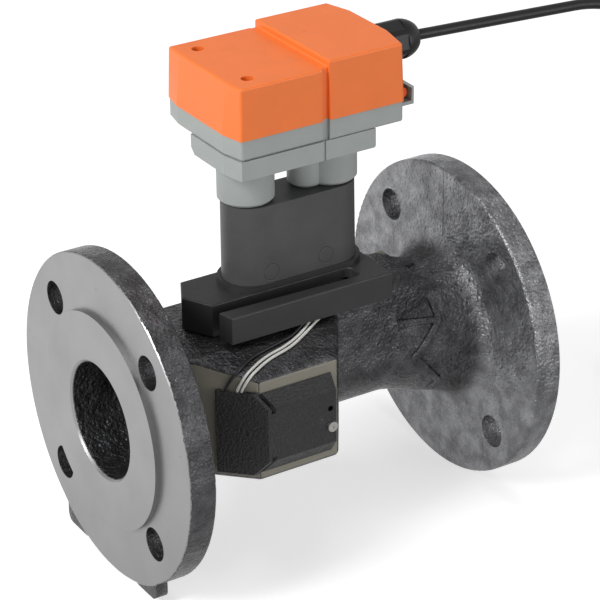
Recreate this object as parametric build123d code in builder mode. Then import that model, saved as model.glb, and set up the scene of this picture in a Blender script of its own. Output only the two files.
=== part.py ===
from build123d import *
import math
import os

# Ultrasonic flow sensor for a pipe of 65 mm nominal bore, in millimetres.
# X runs along the pipe from the inlet flange, Y away from the front and Z up.
# The origin is the centre of the inlet flange's raised face.

os.makedirs("parts", exist_ok=True)

# Fits shared by several pieces
seat_gap = 0.2  # all round a piece that drops into a recess
sliding_gap = 0.1  # radial, round a plug or a stem in its bore
thread_gap = 0.05  # radial, round a screw in its thread
screw_head_height = 3.0
same_place = 0.01  # edges this close to a height or a depth are picked as being at it

# Measuring tube: flanges
face_to_face = 240.0
flange_d = 185.0
flange_thickness = 18.5
raised_face_d = 122.0
raised_face_height = 3.0
bolt_circle_d = 145.0
bolt_hole_d = 19.0
bolt_hole_count = 4
flange_edge = 1.5
flange_fillet = 12.0
foot_inner_y = 29.0
foot_outer_y = 50.5
foot_bottom_z = -88.0
foot_thickness = 7.0
foot_corner = 5.0

# Measuring tube: passage and neck
bore_d = 65.0
bore_chamfer = 1.5
throat_d = 44.0
throat_half_length = 50.0
inlet_taper_length = 30.0
outlet_taper_length = 50.0
passage_blend = 40.0
middle_x = 110.5  # the middle of the casting is the same turned half way round this vertical axis
neck_d = 58.0
neck_half_length = 60.5
neck_flare_angle = 16.5
neck_blend = 40.0

# Measuring tube: flat top and the two lobes that carry the transducers
top_z = 39.5
plateau_half_width = 23.0
plateau_half_length = 85.5
slope_start_y = 32.0
slope_angle = 17.5
pad_y = 58.0
pad_length = 49.0
lobe_end_run = 19.0
lobe_end_y = 29.0
lobe_half_length = 92.0
lobe_bottom_z = -30.0
lobe_edge = 3.5
oblique_wall_distance = 73.2  # from the middle axis, square to the wall at 45 degrees

# Measuring tube: raised zigzag on the outlet side
ridge_height = 1.6
ridge_width = 3.4
ridge_edge = 0.6
ridge_top_z = 35.5
ridge_bend_x = 197.0
ridge_bend_z = 19.0
ridge_point_x = 181.2
ridge_foot_z = -29.0
ridge_bar_start_x = 173.5

# Transducers and the covers over them
transducer_bore_d = 13.0
transducer_head_d = 15.5
transducer_head_height = 3.0
seal_depth = 12.0
seal_section_d = 1.9
seal_groove_depth = 1.9
seal_groove_width = 2.5
transducer_setback = 1.0
terminal_height = 1.3
terminal_bottom_z = -2.0
terminal_width = 10.4
terminal_u = -6.0  # along the oblique wall from the transducer's axis
cover_gasket_thickness = 0.5
cover_oblique_thickness = 3.04
cover_oblique_wall = 1.5
cover_oblique_length = 28.6
cover_front_thickness = 6.0
cover_front_wall = 2.0
cover_right_x = 109.0
cover_half_height = 24.5
cover_slope_start_z = 15.7
cover_cavity_half_height = 14.0
cover_slot_width = 2.0
cover_slot_start_z = 13.0
cover_entry_wall = 0.8
cover_entry_margin = 2.5
cover_entry_length = 14.0
cover_entry_bottom_z = 3.0
cover_gasket_inset = 1.0
cover_screw_x = 106.0
cover_screw_z = -5.4
cover_screw_d = 3.0
cover_screw_head_d = 5.9
cover_screw_head_height = 1.6
cover_screw_length = 14.0
cover_socket_d = 2.6
cover_socket_depth = 1.2
cover_hole_x = 105.4
cover_hole_z = 5.3
cover_hole_d = 3.3

# Temperature probe in the flat top
probe_x = 75.0
probe_d = 6.0
probe_head_d = 12.0
probe_head_height = 3.0
probe_reach = 6.0
probe_tip_r = 1.5

# Sensor base: pointed plate and side arm
base_gasket_thickness = 1.0
base_gasket_inset = 1.0
base_top_z = 59.0
base_half_width = 17.0
base_tip_x = 52.5
base_corner_x = 61.5
base_right_x = 163.5
base_wall = 3.0
base_edge = 1.0
arm_front_y = -36.0
arm_left_back_x = 60.5
arm_left_front_x = 62.4
arm_left_back_y = -26.0
arm_back_y = -29.0
arm_gap_end_x = 148.0
arm_gap_corner = 4.0
arm_bottom_z = 43.5
arm_channel_start_x = 98.0
arm_channel_end_x = 158.0
arm_channel_width = 5.0
arm_channel_top_z = 53.0
arm_wall = 1.5
cross_channel_width = 16.0
back_notch_x = 142.0
back_notch_width = 9.0
back_notch_height = 6.0
collar_width = 2.5
collar_height = 3.0
base_screw_d = 5.0
base_screw_head_d = 8.5
base_screw_places = ((92.0, 8.0), (92.0, -8.0), (147.0, 8.5))
base_post_d = 9.5
base_screw_bite = 12.0
base_screw_tip_gap = 1.0

# Pillar
pillar_half_width = 16.0
pillar_left_x = 95.7
pillar_right_x = 143.8
pillar_height = 48.0
pillar_wall = 2.5
pillar_draft = 0.4
pillar_shoulder_y = 11.6  # the back shoulder starts here, clear of both large tubes
pillar_shoulder_drop = 3.0
pillar_shoulder_margin = 10.8
pillar_boss_d = 8.0
pillar_boss_height = 13.0
pillar_boss_inset = 3.4
pillar_screw_d = 3.0
pillar_screw_head_d = 6.0
pillar_screw_bite = 10.0
pillar_gasket_thickness = 0.6
wire_window_d = 14.5

# Housing base: feet, two bands and guard
tube_left_x = 93.7
tube_right_x = 145.9
tube_d = 31.0
small_tube_x = 131.0
small_tube_d = 20.0
tube_wall = 2.5
tube_floor = 3.0
tube_edge = 1.5
lower_band_z = 135.7
upper_band_z = 146.5
split_z = 158.0
band_step = 0.15
lower_band_right_x = 152.0
lower_band_back_y = 10.5
band_back_chamfer = 3.5
band_corner = 1.4
housing_wall = 2.5
housing_half_width = 37.2
housing_left_x = 70.0
housing_right_x = 169.0
bulge_left = 2.8
bulge_right = 4.5
bulge_left_half_width = 23.5
bulge_right_front_y = -16.0
bulge_right_back_y = 20.0
housing_corner = 1.5
groove_start_x = 118.7
groove_end_x = 123.7
groove_depth = 2.5
groove_left_lean = 1.3
lower_groove_width = 1.6
lower_groove_depth = 0.8

# Guard round the push button
guard_end_x = 187.6
guard_front_y = -20.0
guard_web_y = -13.0
guard_back_y = 7.0
guard_wall = 1.4
guard_floor = 2.0
guard_shoulder_z = 156.5
guard_slope_x = 181.0
guard_top_z = 161.4
guard_left_x = 174.3
switch_width = 7.2
button_edge = 0.8
button_x = 182.4
button_z = 152.7
button_d = 6.4
button_reach = 4.2
button_flange_d = 7.4
button_flange = 1.0
button_stem_d = 3.0
button_travel = 1.8
button_stop_gap = 0.2
button_stem_length = 6.0
button_play = 0.15

# Housing cover: it stands out over the base at its foot and narrows towards its top
low_top_z = 186.2
high_top_z = 190.3
cover_overhang = 0.5
cover_draw = 0.4
cover_bulge_left = 0.3
cover_edge = 1.2
cover_step_fillet = 1.0
housing_screw_x = 81.5
housing_screw_y = 25.0
housing_screw_hole_d = 6.8
housing_screw_head_d = 6.4
housing_screw_d = 3.8
housing_boss_d = 10.4
housing_screw_seat = 4.0
housing_screw_bite = 8.0
lip_height = 2.0
lip_wall = 1.2
seal_width = 1.1
seal_height = 1.2

# Cable gland and cable
gland_z = 176.1
gland_thread_d = 16.0
gland_hex_d = 23.0
gland_hex_thickness = 3.5
gland_seat_d = 24.0
gland_locknut_thickness = 4.0
gland_nut_d = 22.0
gland_nut_length = 14.5
gland_dome_length = 8.0
gland_dome_d = 15.0
gland_flat_count = 6
gland_across_flats = 20.4
gland_flat_length = 13.5
gland_turn = 20.0  # where the nut stopped when it was tightened
gland_nut_gap = 0.3
gland_seal_length = 9.0
gland_bore_d = 10.4
gland_thread_tail = 1.5
gland_dome_bend = 14.0
cable_d = 6.0
cable_gap = 0.3

# Electronics
board_thickness = 1.6
board_post_height = 1.5
board_post_d = 6.0
board_start_x = 90.0
board_end_x = 163.0
board_half_width = 30.0
board_post_places = ((95.0, 25.0), (158.0, 25.0), (158.0, -25.0))
board_column_place = (95.0, -25.0)
board_chip_sizes = (  # middle x and y, length, width, height
    (112.0, -14.0, 16.0, 16.0, 2.4),
    (138.0, 17.0, 19.0, 15.0, 15.0),
    (140.0, -16.0, 8.0, 6.0, 2.0),
)
board_capacitor_places = ((103.0, 12.0), (116.0, 12.0), (128.0, -20.0))
board_capacitor_d = 10.0
board_capacitor_height = 16.0
board_capacitor_edge = 0.8
connector_length = 9.0
connector_height = 4.0
terminal_x = 154.0
terminal_length = 12.0

# Cable: its route by hand, then a coil that rests on the floor
coil_x = 398.0
coil_y = -14.0
coil_mean_r = 33.0
coil_width = 14.0
coil_height = 13.0
core_d = 1.6
core_length = 12.0
core_count = 4
core_circle_r = 1.28
coil_end_angle = 60.0

# Signal wires
wire_d = 1.5
wire_end_gap = 0.2

# Values worked out from the driving dimensions
bore_r = bore_d / 2
throat_r = throat_d / 2
neck_r = neck_d / 2
flange_r = flange_d / 2
floor_z = -flange_r
outlet_back_x = face_to_face - flange_thickness
neck_start_x = middle_x - neck_half_length
neck_end_x = middle_x + neck_half_length
flare = math.tan(math.radians(neck_flare_angle))
turn_axis = Axis((middle_x, 0, 0), (0, 0, 1))
root_2 = math.sqrt(2)
oblique_reach = oblique_wall_distance / root_2
oblique_sum = middle_x - 2 * oblique_reach  # the oblique wall is the plane x + y = this
slope_drop = (pad_y - slope_start_y) * math.tan(math.radians(slope_angle))
lobe_left_x = middle_x - lobe_half_length
pad_left_x = oblique_sum + pad_y
pad_right_x = pad_left_x + pad_length
lobe_right_x = pad_right_x + lobe_end_run
base_bottom_z = top_z + base_gasket_thickness
pillar_top_z = base_top_z + pillar_height
tube_bottom_z = pillar_top_z + pillar_gasket_thickness
tray_floor_z = upper_band_z + housing_wall
board_z = tray_floor_z + board_post_height
board_top_z = board_z + board_thickness
wall_face_x = housing_right_x + bulge_right + cover_overhang
wall_back_x = housing_right_x + bulge_right - housing_wall

# Planes on the front lobe and their partners on the back lobe
oblique_front = Plane(
    origin=(middle_x - oblique_reach, -oblique_reach, 0), x_dir=(1, -1, 0), z_dir=(-1, -1, 0)
)
oblique_back = Plane(
    origin=(middle_x + oblique_reach, oblique_reach, 0), x_dir=(-1, 1, 0), z_dir=(1, 1, 0)
)
pad_front = Plane(origin=(middle_x, -pad_y, 0), x_dir=(1, 0, 0), z_dir=(0, -1, 0))
pad_back = Plane(origin=(middle_x, pad_y, 0), x_dir=(-1, 0, 0), z_dir=(0, 1, 0))


def corner(sketch, x, y):
    """Return the vertex of a sketch that is nearest to a point."""
    return sketch.vertices().sort_by_distance((x, y, 0))[0]


def flare_r(x):
    """Return the outer radius of the flare beyond either end of the neck."""
    return neck_r + max(neck_start_x - x, x - neck_end_x, 0) * flare


# One lobe, from its plan, cut to the sloping top, with cast edges all round
with BuildPart() as lobe:
    with BuildSketch(Plane.XY.offset(lobe_bottom_z)):
        Polygon(
            (lobe_left_x, oblique_sum - lobe_left_x),
            (pad_left_x, -pad_y),
            (pad_right_x, -pad_y),
            (lobe_right_x, -lobe_end_y),
            (lobe_right_x, 0),
            (lobe_left_x, 0),
            align=None,
        )
    extrude(amount=top_z - lobe_bottom_z)
    with BuildSketch(Plane.YZ):
        Polygon(
            (0, lobe_bottom_z),
            (-pad_y, lobe_bottom_z),
            (-pad_y, top_z - slope_drop),
            (-slope_start_y, top_z),
            (0, top_z),
            align=None,
        )
    extrude(amount=face_to_face, mode=Mode.INTERSECT)
    walls = lobe.faces().filter_by(lambda face: abs(face.normal_at().Z) < 0.1 and face.normal_at().Y < -0.5)
    standing = walls.edges().filter_by(Axis.Z)
    rims = [edge for edge in walls.edges() if edge not in standing]
    pad_corners = standing.filter_by_position(Axis.Y, -pad_y - same_place, -pad_y + same_place)
    fillet(set(rims) | set(pad_corners), lobe_edge)

# Outline of the casting in a half plane through the pipe's axis, without the lobes
with BuildSketch(Plane.XZ) as body_profile:
    Polygon(
        (0, 0),
        (0, raised_face_d / 2),
        (raised_face_height, raised_face_d / 2),
        (raised_face_height, flange_r),
        (flange_thickness, flange_r),
        (flange_thickness, flare_r(flange_thickness)),
        (neck_start_x, neck_r),
        (neck_end_x, neck_r),
        (outlet_back_x, flare_r(outlet_back_x)),
        (outlet_back_x, flange_r),
        (face_to_face - raised_face_height, flange_r),
        (face_to_face - raised_face_height, raised_face_d / 2),
        (face_to_face, raised_face_d / 2),
        (face_to_face, 0),
        align=None,
    )
    fillet(corner(body_profile, outlet_back_x, flare_r(outlet_back_x)), flange_fillet)
    fillet(corner(body_profile, flange_thickness, flare_r(flange_thickness)), flange_fillet)
    fillet(corner(body_profile, neck_end_x, neck_r), neck_blend)
    fillet(corner(body_profile, neck_start_x, neck_r), neck_blend)
    fillet(corner(body_profile, flange_thickness, flange_r), flange_edge)
    fillet(corner(body_profile, outlet_back_x, flange_r), flange_edge)
    chamfer(corner(body_profile, raised_face_height, flange_r), flange_edge / 2)
    chamfer(corner(body_profile, face_to_face - raised_face_height, flange_r), flange_edge / 2)

# Section of the passage: straight at both ends, tapered to a longer throat
with BuildSketch(Plane.XZ) as passage_profile:
    throat_start_x = middle_x - throat_half_length
    throat_end_x = middle_x + throat_half_length
    Polygon(
        (0, 0),
        (0, bore_r + bore_chamfer),
        (bore_chamfer, bore_r),
        (throat_start_x - inlet_taper_length, bore_r),
        (throat_start_x, throat_r),
        (throat_end_x, throat_r),
        (throat_end_x + outlet_taper_length, bore_r),
        (face_to_face - bore_chamfer, bore_r),
        (face_to_face, bore_r + bore_chamfer),
        (face_to_face, 0),
        align=None,
    )
    for bend_x, bend_r in (
        (throat_start_x - inlet_taper_length, bore_r),
        (throat_start_x, throat_r),
        (throat_end_x, throat_r),
        (throat_end_x + outlet_taper_length, bore_r),
    ):
        fillet(corner(passage_profile, bend_x, bend_r), passage_blend)

# The raised zigzag is a shell round the flare, cut to a band as seen from the front
with BuildPart() as ridge:
    ridge_end_x = outlet_back_x - flange_fillet
    with BuildSketch(Plane.XZ) as ridge_profile:
        Polygon(
            (middle_x, 0),
            (middle_x, neck_r + ridge_height),
            (neck_end_x, neck_r + ridge_height),
            (ridge_end_x, flare_r(ridge_end_x) + ridge_height),
            (ridge_end_x, 0),
            align=None,
        )
        fillet(corner(ridge_profile, neck_end_x, neck_r + ridge_height), neck_blend)
    revolve(axis=Axis.X)
    with BuildSketch(Plane.XZ):
        with BuildLine():
            Polyline(
                (ridge_bend_x, ridge_top_z),
                (ridge_bend_x, ridge_bend_z),
                (ridge_point_x, 0),
                (ridge_bend_x, -ridge_bend_z),
                (ridge_bend_x, ridge_foot_z),
            )
        trace(line_width=ridge_width)
        with BuildLine():
            Line((ridge_bar_start_x, ridge_bend_z), (ridge_bend_x, ridge_bend_z))
        trace(line_width=ridge_width)
    extrude(amount=flange_r, mode=Mode.INTERSECT)
    crest = ridge.faces().filter_by(lambda face: face.geom_type != GeomType.PLANE)
    fillet(crest.edges().filter_by(lambda edge: edge.center().Y < -same_place), ridge_edge)

with BuildPart() as measuring_tube:
    revolve(body_profile.sketch, axis=Axis.X)
    with BuildSketch(Plane.YZ.offset(neck_start_x)):
        Circle(neck_r)
        with Locations((0, top_z / 2)):
            Rectangle(neck_d, top_z)
    extrude(amount=2 * neck_half_length)
    with BuildSketch():
        with Locations((middle_x, 0)):
            Rectangle(2 * plateau_half_length, 2 * plateau_half_width)
    extrude(amount=top_z)
    add(lobe.part)
    add(lobe.part.rotate(turn_axis, 180))
    add(ridge.part)
    with BuildSketch(Plane.YZ.offset(raised_face_height)) as feet:
        for side in (1, -1):
            foot_middle_y = side * (foot_inner_y + foot_outer_y) / 2
            with Locations((foot_middle_y, (foot_bottom_z - foot_inner_y) / 2)):
                Rectangle(foot_outer_y - foot_inner_y, -foot_bottom_z - foot_inner_y)
            fillet(corner(feet, side * foot_outer_y, foot_bottom_z), foot_corner)
    extrude(amount=foot_thickness)
    revolve(passage_profile.sketch, axis=Axis.X, mode=Mode.SUBTRACT)
    with BuildSketch(Plane.YZ):
        with PolarLocations(bolt_circle_d / 2, bolt_hole_count, start_angle=180 / bolt_hole_count):
            Circle(bolt_hole_d / 2)
    extrude(amount=face_to_face, mode=Mode.SUBTRACT)
    with BuildSketch(oblique_front):
        Circle(transducer_bore_d / 2)
    extrude(amount=-2 * oblique_wall_distance, mode=Mode.SUBTRACT)
    with BuildSketch(oblique_front, oblique_back):
        Circle(transducer_head_d / 2)
    extrude(amount=-transducer_head_height, mode=Mode.SUBTRACT)
    with BuildSketch(pad_front, pad_back):
        with Locations((cover_screw_x - middle_x, cover_screw_z)):
            Circle(cover_screw_d / 2)
    extrude(amount=-cover_screw_length, mode=Mode.SUBTRACT)
    with Locations((probe_x, 0, top_z)):
        CounterBoreHole(probe_d / 2, probe_head_d / 2, probe_head_height, depth=top_z - throat_r / 2)
    with Locations([(x, y, top_z) for x, y in base_screw_places]):
        Hole(base_screw_d / 2, depth=base_screw_bite)
measuring_tube.part.label = "measuring_tube"
export_step(measuring_tube.part, "parts/measuring_tube.step")

# Transducer cover and its gasket, in plan along the oblique wall and the pad
cover_sum = oblique_sum - root_2 * cover_oblique_thickness
cover_inner_sum = cover_sum + root_2 * cover_oblique_wall
gasket_sum = oblique_sum - root_2 * cover_gasket_thickness
cover_y = -pad_y - cover_front_thickness
cover_inner_y = cover_y + cover_front_wall
gasket_y = -pad_y - cover_gasket_thickness
cover_left = cover_sum - 2 * cover_y - root_2 * cover_oblique_length  # x - y at the cover's left end
entry_start = cover_left + root_2 * cover_entry_margin
entry_end = entry_start + root_2 * cover_entry_length


def plan_point(total, difference):
    """Return the point in plan where x + y and x - y have these values."""
    return ((total + difference) / 2, (total - difference) / 2)


def entry_recess():
    """Draw the recess in the cover's top edge where the wires go in."""
    Polygon(
        plan_point(cover_sum + root_2 * cover_entry_wall, entry_start),
        plan_point(cover_sum + root_2 * cover_entry_wall, entry_end),
        plan_point(oblique_sum, entry_end),
        plan_point(oblique_sum, entry_start),
        align=None,
    )


with BuildPart() as transducer_cover_front:
    with BuildSketch():
        Polygon(
            plan_point(cover_sum, cover_left),
            (cover_sum - cover_y, cover_y),
            (cover_right_x, cover_y),
            (cover_right_x, gasket_y),
            (gasket_sum - gasket_y, gasket_y),
            plan_point(gasket_sum, cover_left),
            align=None,
        )
    extrude(amount=cover_half_height, both=True)
    with BuildSketch(Plane.YZ):
        Polygon(
            (0, cover_half_height),
            (-pad_y, cover_half_height),
            (cover_y, cover_slope_start_z),
            (cover_y, -cover_slope_start_z),
            (-pad_y, -cover_half_height),
            (0, -cover_half_height),
            align=None,
        )
    extrude(amount=face_to_face, mode=Mode.INTERSECT)
    with BuildSketch():
        cavity_right_x = cover_screw_x - cover_screw_head_d / 2 - cover_front_wall
        Polygon(
            plan_point(cover_inner_sum, cover_left + root_2 * cover_front_wall),
            (cover_inner_sum - cover_inner_y, cover_inner_y),
            (cavity_right_x, cover_inner_y),
            (cavity_right_x, gasket_y),
            (gasket_sum - gasket_y, gasket_y),
            plan_point(gasket_sum, cover_left + root_2 * cover_front_wall),
            align=None,
        )
    extrude(amount=cover_cavity_half_height, both=True, mode=Mode.SUBTRACT)
    with BuildSketch(Plane.XY.offset(cover_slot_start_z), Plane.XY.offset(-cover_half_height)):
        slot_sum = cover_inner_sum + root_2 * cover_slot_width
        Polygon(
            (cover_inner_sum - cover_y, cover_y),
            (slot_sum - cover_y, cover_y),
            (slot_sum - gasket_y, gasket_y),
            (cover_inner_sum - gasket_y, gasket_y),
            align=None,
        )
    extrude(amount=cover_half_height - cover_slot_start_z, mode=Mode.SUBTRACT)
    with BuildSketch(Plane.XY.offset(cover_entry_bottom_z)):
        entry_recess()
    extrude(amount=cover_half_height, mode=Mode.SUBTRACT)
    with BuildSketch(pad_front):
        with Locations((cover_screw_x - middle_x, cover_screw_z)):
            Circle(cover_screw_d / 2 + seat_gap)
        with Locations((cover_hole_x - middle_x, cover_hole_z)):
            Circle(cover_hole_d / 2)
    extrude(amount=cover_front_thickness, mode=Mode.SUBTRACT)
transducer_cover_front.part.label = "transducer_cover_front"
export_step(transducer_cover_front.part, "parts/transducer_cover_front.step")

with BuildPart() as transducer_cover_back:
    add(transducer_cover_front.part.rotate(turn_axis, 180))
transducer_cover_back.part.label = "transducer_cover_back"
export_step(transducer_cover_back.part, "parts/transducer_cover_back.step")

with BuildPart() as cover_gasket_front:
    with BuildSketch():
        Polygon(
            plan_point(gasket_sum, cover_left + root_2 * cover_gasket_inset),
            (gasket_sum - gasket_y, gasket_y),
            (cover_right_x - cover_gasket_inset, gasket_y),
            (cover_right_x - cover_gasket_inset, -pad_y),
            (pad_left_x, -pad_y),
            plan_point(oblique_sum, cover_left + root_2 * cover_gasket_inset),
            align=None,
        )
    extrude(amount=cover_half_height - cover_gasket_inset, both=True)
    with BuildSketch(oblique_front):
        Circle(transducer_head_d / 2)
        with Locations((terminal_u, (terminal_bottom_z + cover_entry_bottom_z) / 2)):
            Rectangle(
                terminal_width + 2 * seat_gap, cover_entry_bottom_z - terminal_bottom_z + 2 * seat_gap
            )
    extrude(amount=cover_gasket_thickness, mode=Mode.SUBTRACT)
    with BuildSketch(Plane.XY.offset(cover_entry_bottom_z)):
        entry_recess()
    extrude(amount=cover_half_height, mode=Mode.SUBTRACT)
    with BuildSketch(pad_front):
        with Locations((cover_screw_x - middle_x, cover_screw_z)):
            Circle(cover_screw_d / 2 + seat_gap)
    extrude(amount=cover_gasket_thickness, mode=Mode.SUBTRACT)
cover_gasket_front.part.label = "cover_gasket_front"
export_step(cover_gasket_front.part, "parts/cover_gasket_front.step")

with BuildPart() as cover_gasket_back:
    add(cover_gasket_front.part.rotate(turn_axis, 180))
cover_gasket_back.part.label = "cover_gasket_back"
export_step(cover_gasket_back.part, "parts/cover_gasket_back.step")

# Each cover has one socket screw, whose head stands on the cover's face
with BuildPart() as cover_screws:
    screw_place = (cover_screw_x - middle_x, cover_screw_z)
    head_offset = cover_front_thickness
    with BuildSketch(pad_front.offset(head_offset), pad_back.offset(head_offset)):
        with Locations(screw_place):
            Circle(cover_screw_head_d / 2)
    extrude(amount=cover_screw_head_height)
    with BuildSketch(pad_front.offset(head_offset), pad_back.offset(head_offset)):
        with Locations(screw_place):
            Circle(cover_screw_d / 2 - thread_gap)
    extrude(amount=-cover_screw_length)
    socket_offset = head_offset + cover_screw_head_height
    with BuildSketch(pad_front.offset(socket_offset), pad_back.offset(socket_offset)):
        with Locations(screw_place):
            RegularPolygon(cover_socket_d / 2, 6)
    extrude(amount=-cover_socket_depth, mode=Mode.SUBTRACT)
cover_screws.part.label = "cover_screws"
export_step(cover_screws.part, "parts/cover_screws.step")

# Transducer: head in the recess of the oblique wall, plug down to the throat
with BuildPart() as transducer_front:
    plug_r = transducer_bore_d / 2 - sliding_gap
    plug_length = oblique_wall_distance - throat_r * root_2 - transducer_bore_d / 2 - transducer_setback
    with BuildSketch(oblique_front):
        Circle(transducer_head_d / 2 - seat_gap)
    extrude(amount=-transducer_head_height)
    with BuildSketch(oblique_front):
        Circle(plug_r)
    extrude(amount=-plug_length)
    with BuildSketch(oblique_front.offset(-seal_depth)):
        Circle(plug_r)
        Circle(plug_r - seal_groove_depth, mode=Mode.SUBTRACT)
    extrude(amount=-seal_groove_width, mode=Mode.SUBTRACT)
    with BuildSketch(oblique_front):
        with Locations((terminal_u, (terminal_bottom_z + cover_entry_bottom_z) / 2)):
            Rectangle(terminal_width, cover_entry_bottom_z - terminal_bottom_z)
    extrude(amount=terminal_height)
transducer_front.part.label = "transducer_front"
export_step(transducer_front.part, "parts/transducer_front.step")

with BuildPart() as transducer_back:
    add(transducer_front.part.rotate(turn_axis, 180))
transducer_back.part.label = "transducer_back"
export_step(transducer_back.part, "parts/transducer_back.step")

with BuildPart() as transducer_seals:
    seal_major_r = transducer_bore_d / 2 - thread_gap - seal_section_d / 2
    for seal_plane in (oblique_front, oblique_back):
        with Locations(seal_plane.offset(-seal_depth - seal_groove_width / 2)):
            Torus(seal_major_r, seal_section_d / 2)
transducer_seals.part.label = "transducer_seals"
export_step(transducer_seals.part, "parts/transducer_seals.step")

with BuildPart() as temperature_sensor:
    with BuildSketch(Plane.XY.offset(top_z)):
        with Locations((probe_x, 0)):
            Circle(probe_head_d / 2 - seat_gap)
    extrude(amount=-probe_head_height)
    with BuildSketch(Plane.XY.offset(top_z)):
        with Locations((probe_x, 0)):
            Circle(probe_d / 2 - sliding_gap)
    extrude(amount=throat_r - top_z - probe_reach)
    fillet(temperature_sensor.edges().sort_by(Axis.Z)[0], probe_tip_r)
temperature_sensor.part.label = "temperature_sensor"
export_step(temperature_sensor.part, "parts/temperature_sensor.step")

# Plan of the pointed plate, and of the gap between it and the side arm
with BuildSketch() as plate_plan:
    Polygon(
        (base_tip_x, 0),
        (base_corner_x, base_half_width),
        (base_right_x, base_half_width),
        (base_right_x, -base_half_width),
        (base_corner_x, -base_half_width),
        align=None,
    )

with BuildSketch() as arm_gap:
    Polygon(
        (base_tip_x, -base_half_width),
        (arm_gap_end_x, -base_half_width),
        (arm_gap_end_x, arm_back_y),
        (arm_left_back_x, arm_left_back_y),
        (base_tip_x, arm_left_back_y),
        align=None,
    )
    fillet(corner(arm_gap, arm_gap_end_x, -base_half_width), arm_gap_corner)
    fillet(corner(arm_gap, arm_gap_end_x, arm_back_y), arm_gap_corner)

with BuildSketch() as pillar_plan:
    with Locations(((pillar_left_x + pillar_right_x) / 2, 0)):
        SlotCenterToCenter(pillar_right_x - pillar_left_x, 2 * pillar_half_width)

pillar_inner_half_width = pillar_half_width - pillar_wall
pillar_boss_left_x = pillar_left_x - pillar_inner_half_width + pillar_boss_inset
pillar_boss_right_x = pillar_right_x + pillar_inner_half_width - pillar_boss_inset
pillar_boss_places = ((pillar_boss_left_x, 0), (pillar_boss_right_x, 0))

with BuildPart() as base_gasket:
    with BuildSketch(Plane.XY.offset(top_z)):
        add(plate_plan.sketch)
        offset(amount=-base_gasket_inset, kind=Kind.INTERSECTION, mode=Mode.REPLACE)
        with Locations(*base_screw_places):
            Circle(base_screw_d / 2 + seat_gap, mode=Mode.SUBTRACT)
        with Locations((probe_x, 0)):
            Circle(probe_d / 2, mode=Mode.SUBTRACT)
    extrude(amount=base_gasket_thickness)
base_gasket.part.label = "base_gasket"
export_step(base_gasket.part, "parts/base_gasket.step")

# Sensor base: hollow plate, side arm with a wire channel, and the pillar's collar
with BuildPart() as sensor_base:
    with BuildSketch(Plane.XY.offset(base_bottom_z)):
        add(plate_plan.sketch)
    extrude(amount=base_top_z - base_bottom_z)
    with BuildSketch(Plane.XY.offset(arm_bottom_z)):
        Polygon(
            (arm_left_back_x, arm_left_back_y),
            (arm_left_front_x, arm_front_y),
            (base_right_x, arm_front_y),
            (base_right_x, -base_half_width),
            (arm_left_back_x, -base_half_width),
            align=None,
        )
        add(arm_gap.sketch, mode=Mode.SUBTRACT)
    extrude(amount=base_top_z - arm_bottom_z)
    fillet(sensor_base.edges().group_by(Axis.Z)[-1], base_edge)
    with BuildSketch(Plane.XY.offset(base_top_z)):
        add(pillar_plan.sketch)
        offset(amount=collar_width, mode=Mode.REPLACE)
        with Locations(((pillar_left_x + pillar_right_x) / 2, 0)):
            Rectangle(face_to_face, 2 * base_half_width, mode=Mode.INTERSECT)
    extrude(amount=collar_height)
    with BuildSketch(Plane.XY.offset(base_top_z)):
        add(pillar_plan.sketch)
        offset(amount=seat_gap, mode=Mode.REPLACE)
    extrude(amount=collar_height, mode=Mode.SUBTRACT)
    with BuildSketch(Plane.XY.offset(base_bottom_z)):
        add(plate_plan.sketch)
        offset(amount=-base_wall, kind=Kind.INTERSECTION, mode=Mode.REPLACE)
        with Locations(*base_screw_places):
            Circle(base_post_d / 2, mode=Mode.SUBTRACT)
    extrude(amount=base_top_z - base_wall - base_bottom_z, mode=Mode.SUBTRACT)
    channel_front_y = arm_front_y + arm_wall
    with BuildSketch(Plane.XY.offset(arm_bottom_z)):
        with Locations((arm_channel_start_x, channel_front_y)):
            Rectangle(
                arm_channel_end_x - arm_channel_start_x, arm_channel_width, align=(Align.MIN, Align.MIN)
            )
        with Locations((arm_channel_end_x, channel_front_y)):
            Rectangle(
                cross_channel_width,
                base_wall - base_half_width - channel_front_y,
                align=(Align.MAX, Align.MIN),
            )
    extrude(amount=arm_channel_top_z - arm_bottom_z, mode=Mode.SUBTRACT)
    with BuildSketch(Plane.XY.offset(base_bottom_z)):
        with Locations((back_notch_x, base_half_width)):
            Rectangle(back_notch_width, 2 * base_wall)
    extrude(amount=back_notch_height, mode=Mode.SUBTRACT)
    with BuildSketch(Plane.XY.offset(base_top_z)):
        with Locations((small_tube_x, 0)):
            Circle(wire_window_d / 2)
        with Locations(*pillar_boss_places):
            Circle(pillar_screw_d / 2 + seat_gap)
        with Locations(*base_screw_places):
            Circle(base_screw_d / 2 + seat_gap)
    extrude(amount=base_bottom_z - base_top_z, mode=Mode.SUBTRACT)
sensor_base.part.label = "sensor_base"
export_step(sensor_base.part, "parts/sensor_base.step")

with BuildPart() as base_screws:
    with BuildSketch(Plane.XY.offset(base_top_z)):
        with Locations(*base_screw_places):
            Circle(base_screw_head_d / 2)
    extrude(amount=screw_head_height)
    with BuildSketch(Plane.XY.offset(base_top_z)):
        with Locations(*base_screw_places):
            Circle(base_screw_d / 2 - thread_gap)
    extrude(amount=top_z - base_screw_bite + base_screw_tip_gap - base_top_z)
base_screws.part.label = "base_screws"
export_step(base_screws.part, "parts/base_screws.step")

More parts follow.
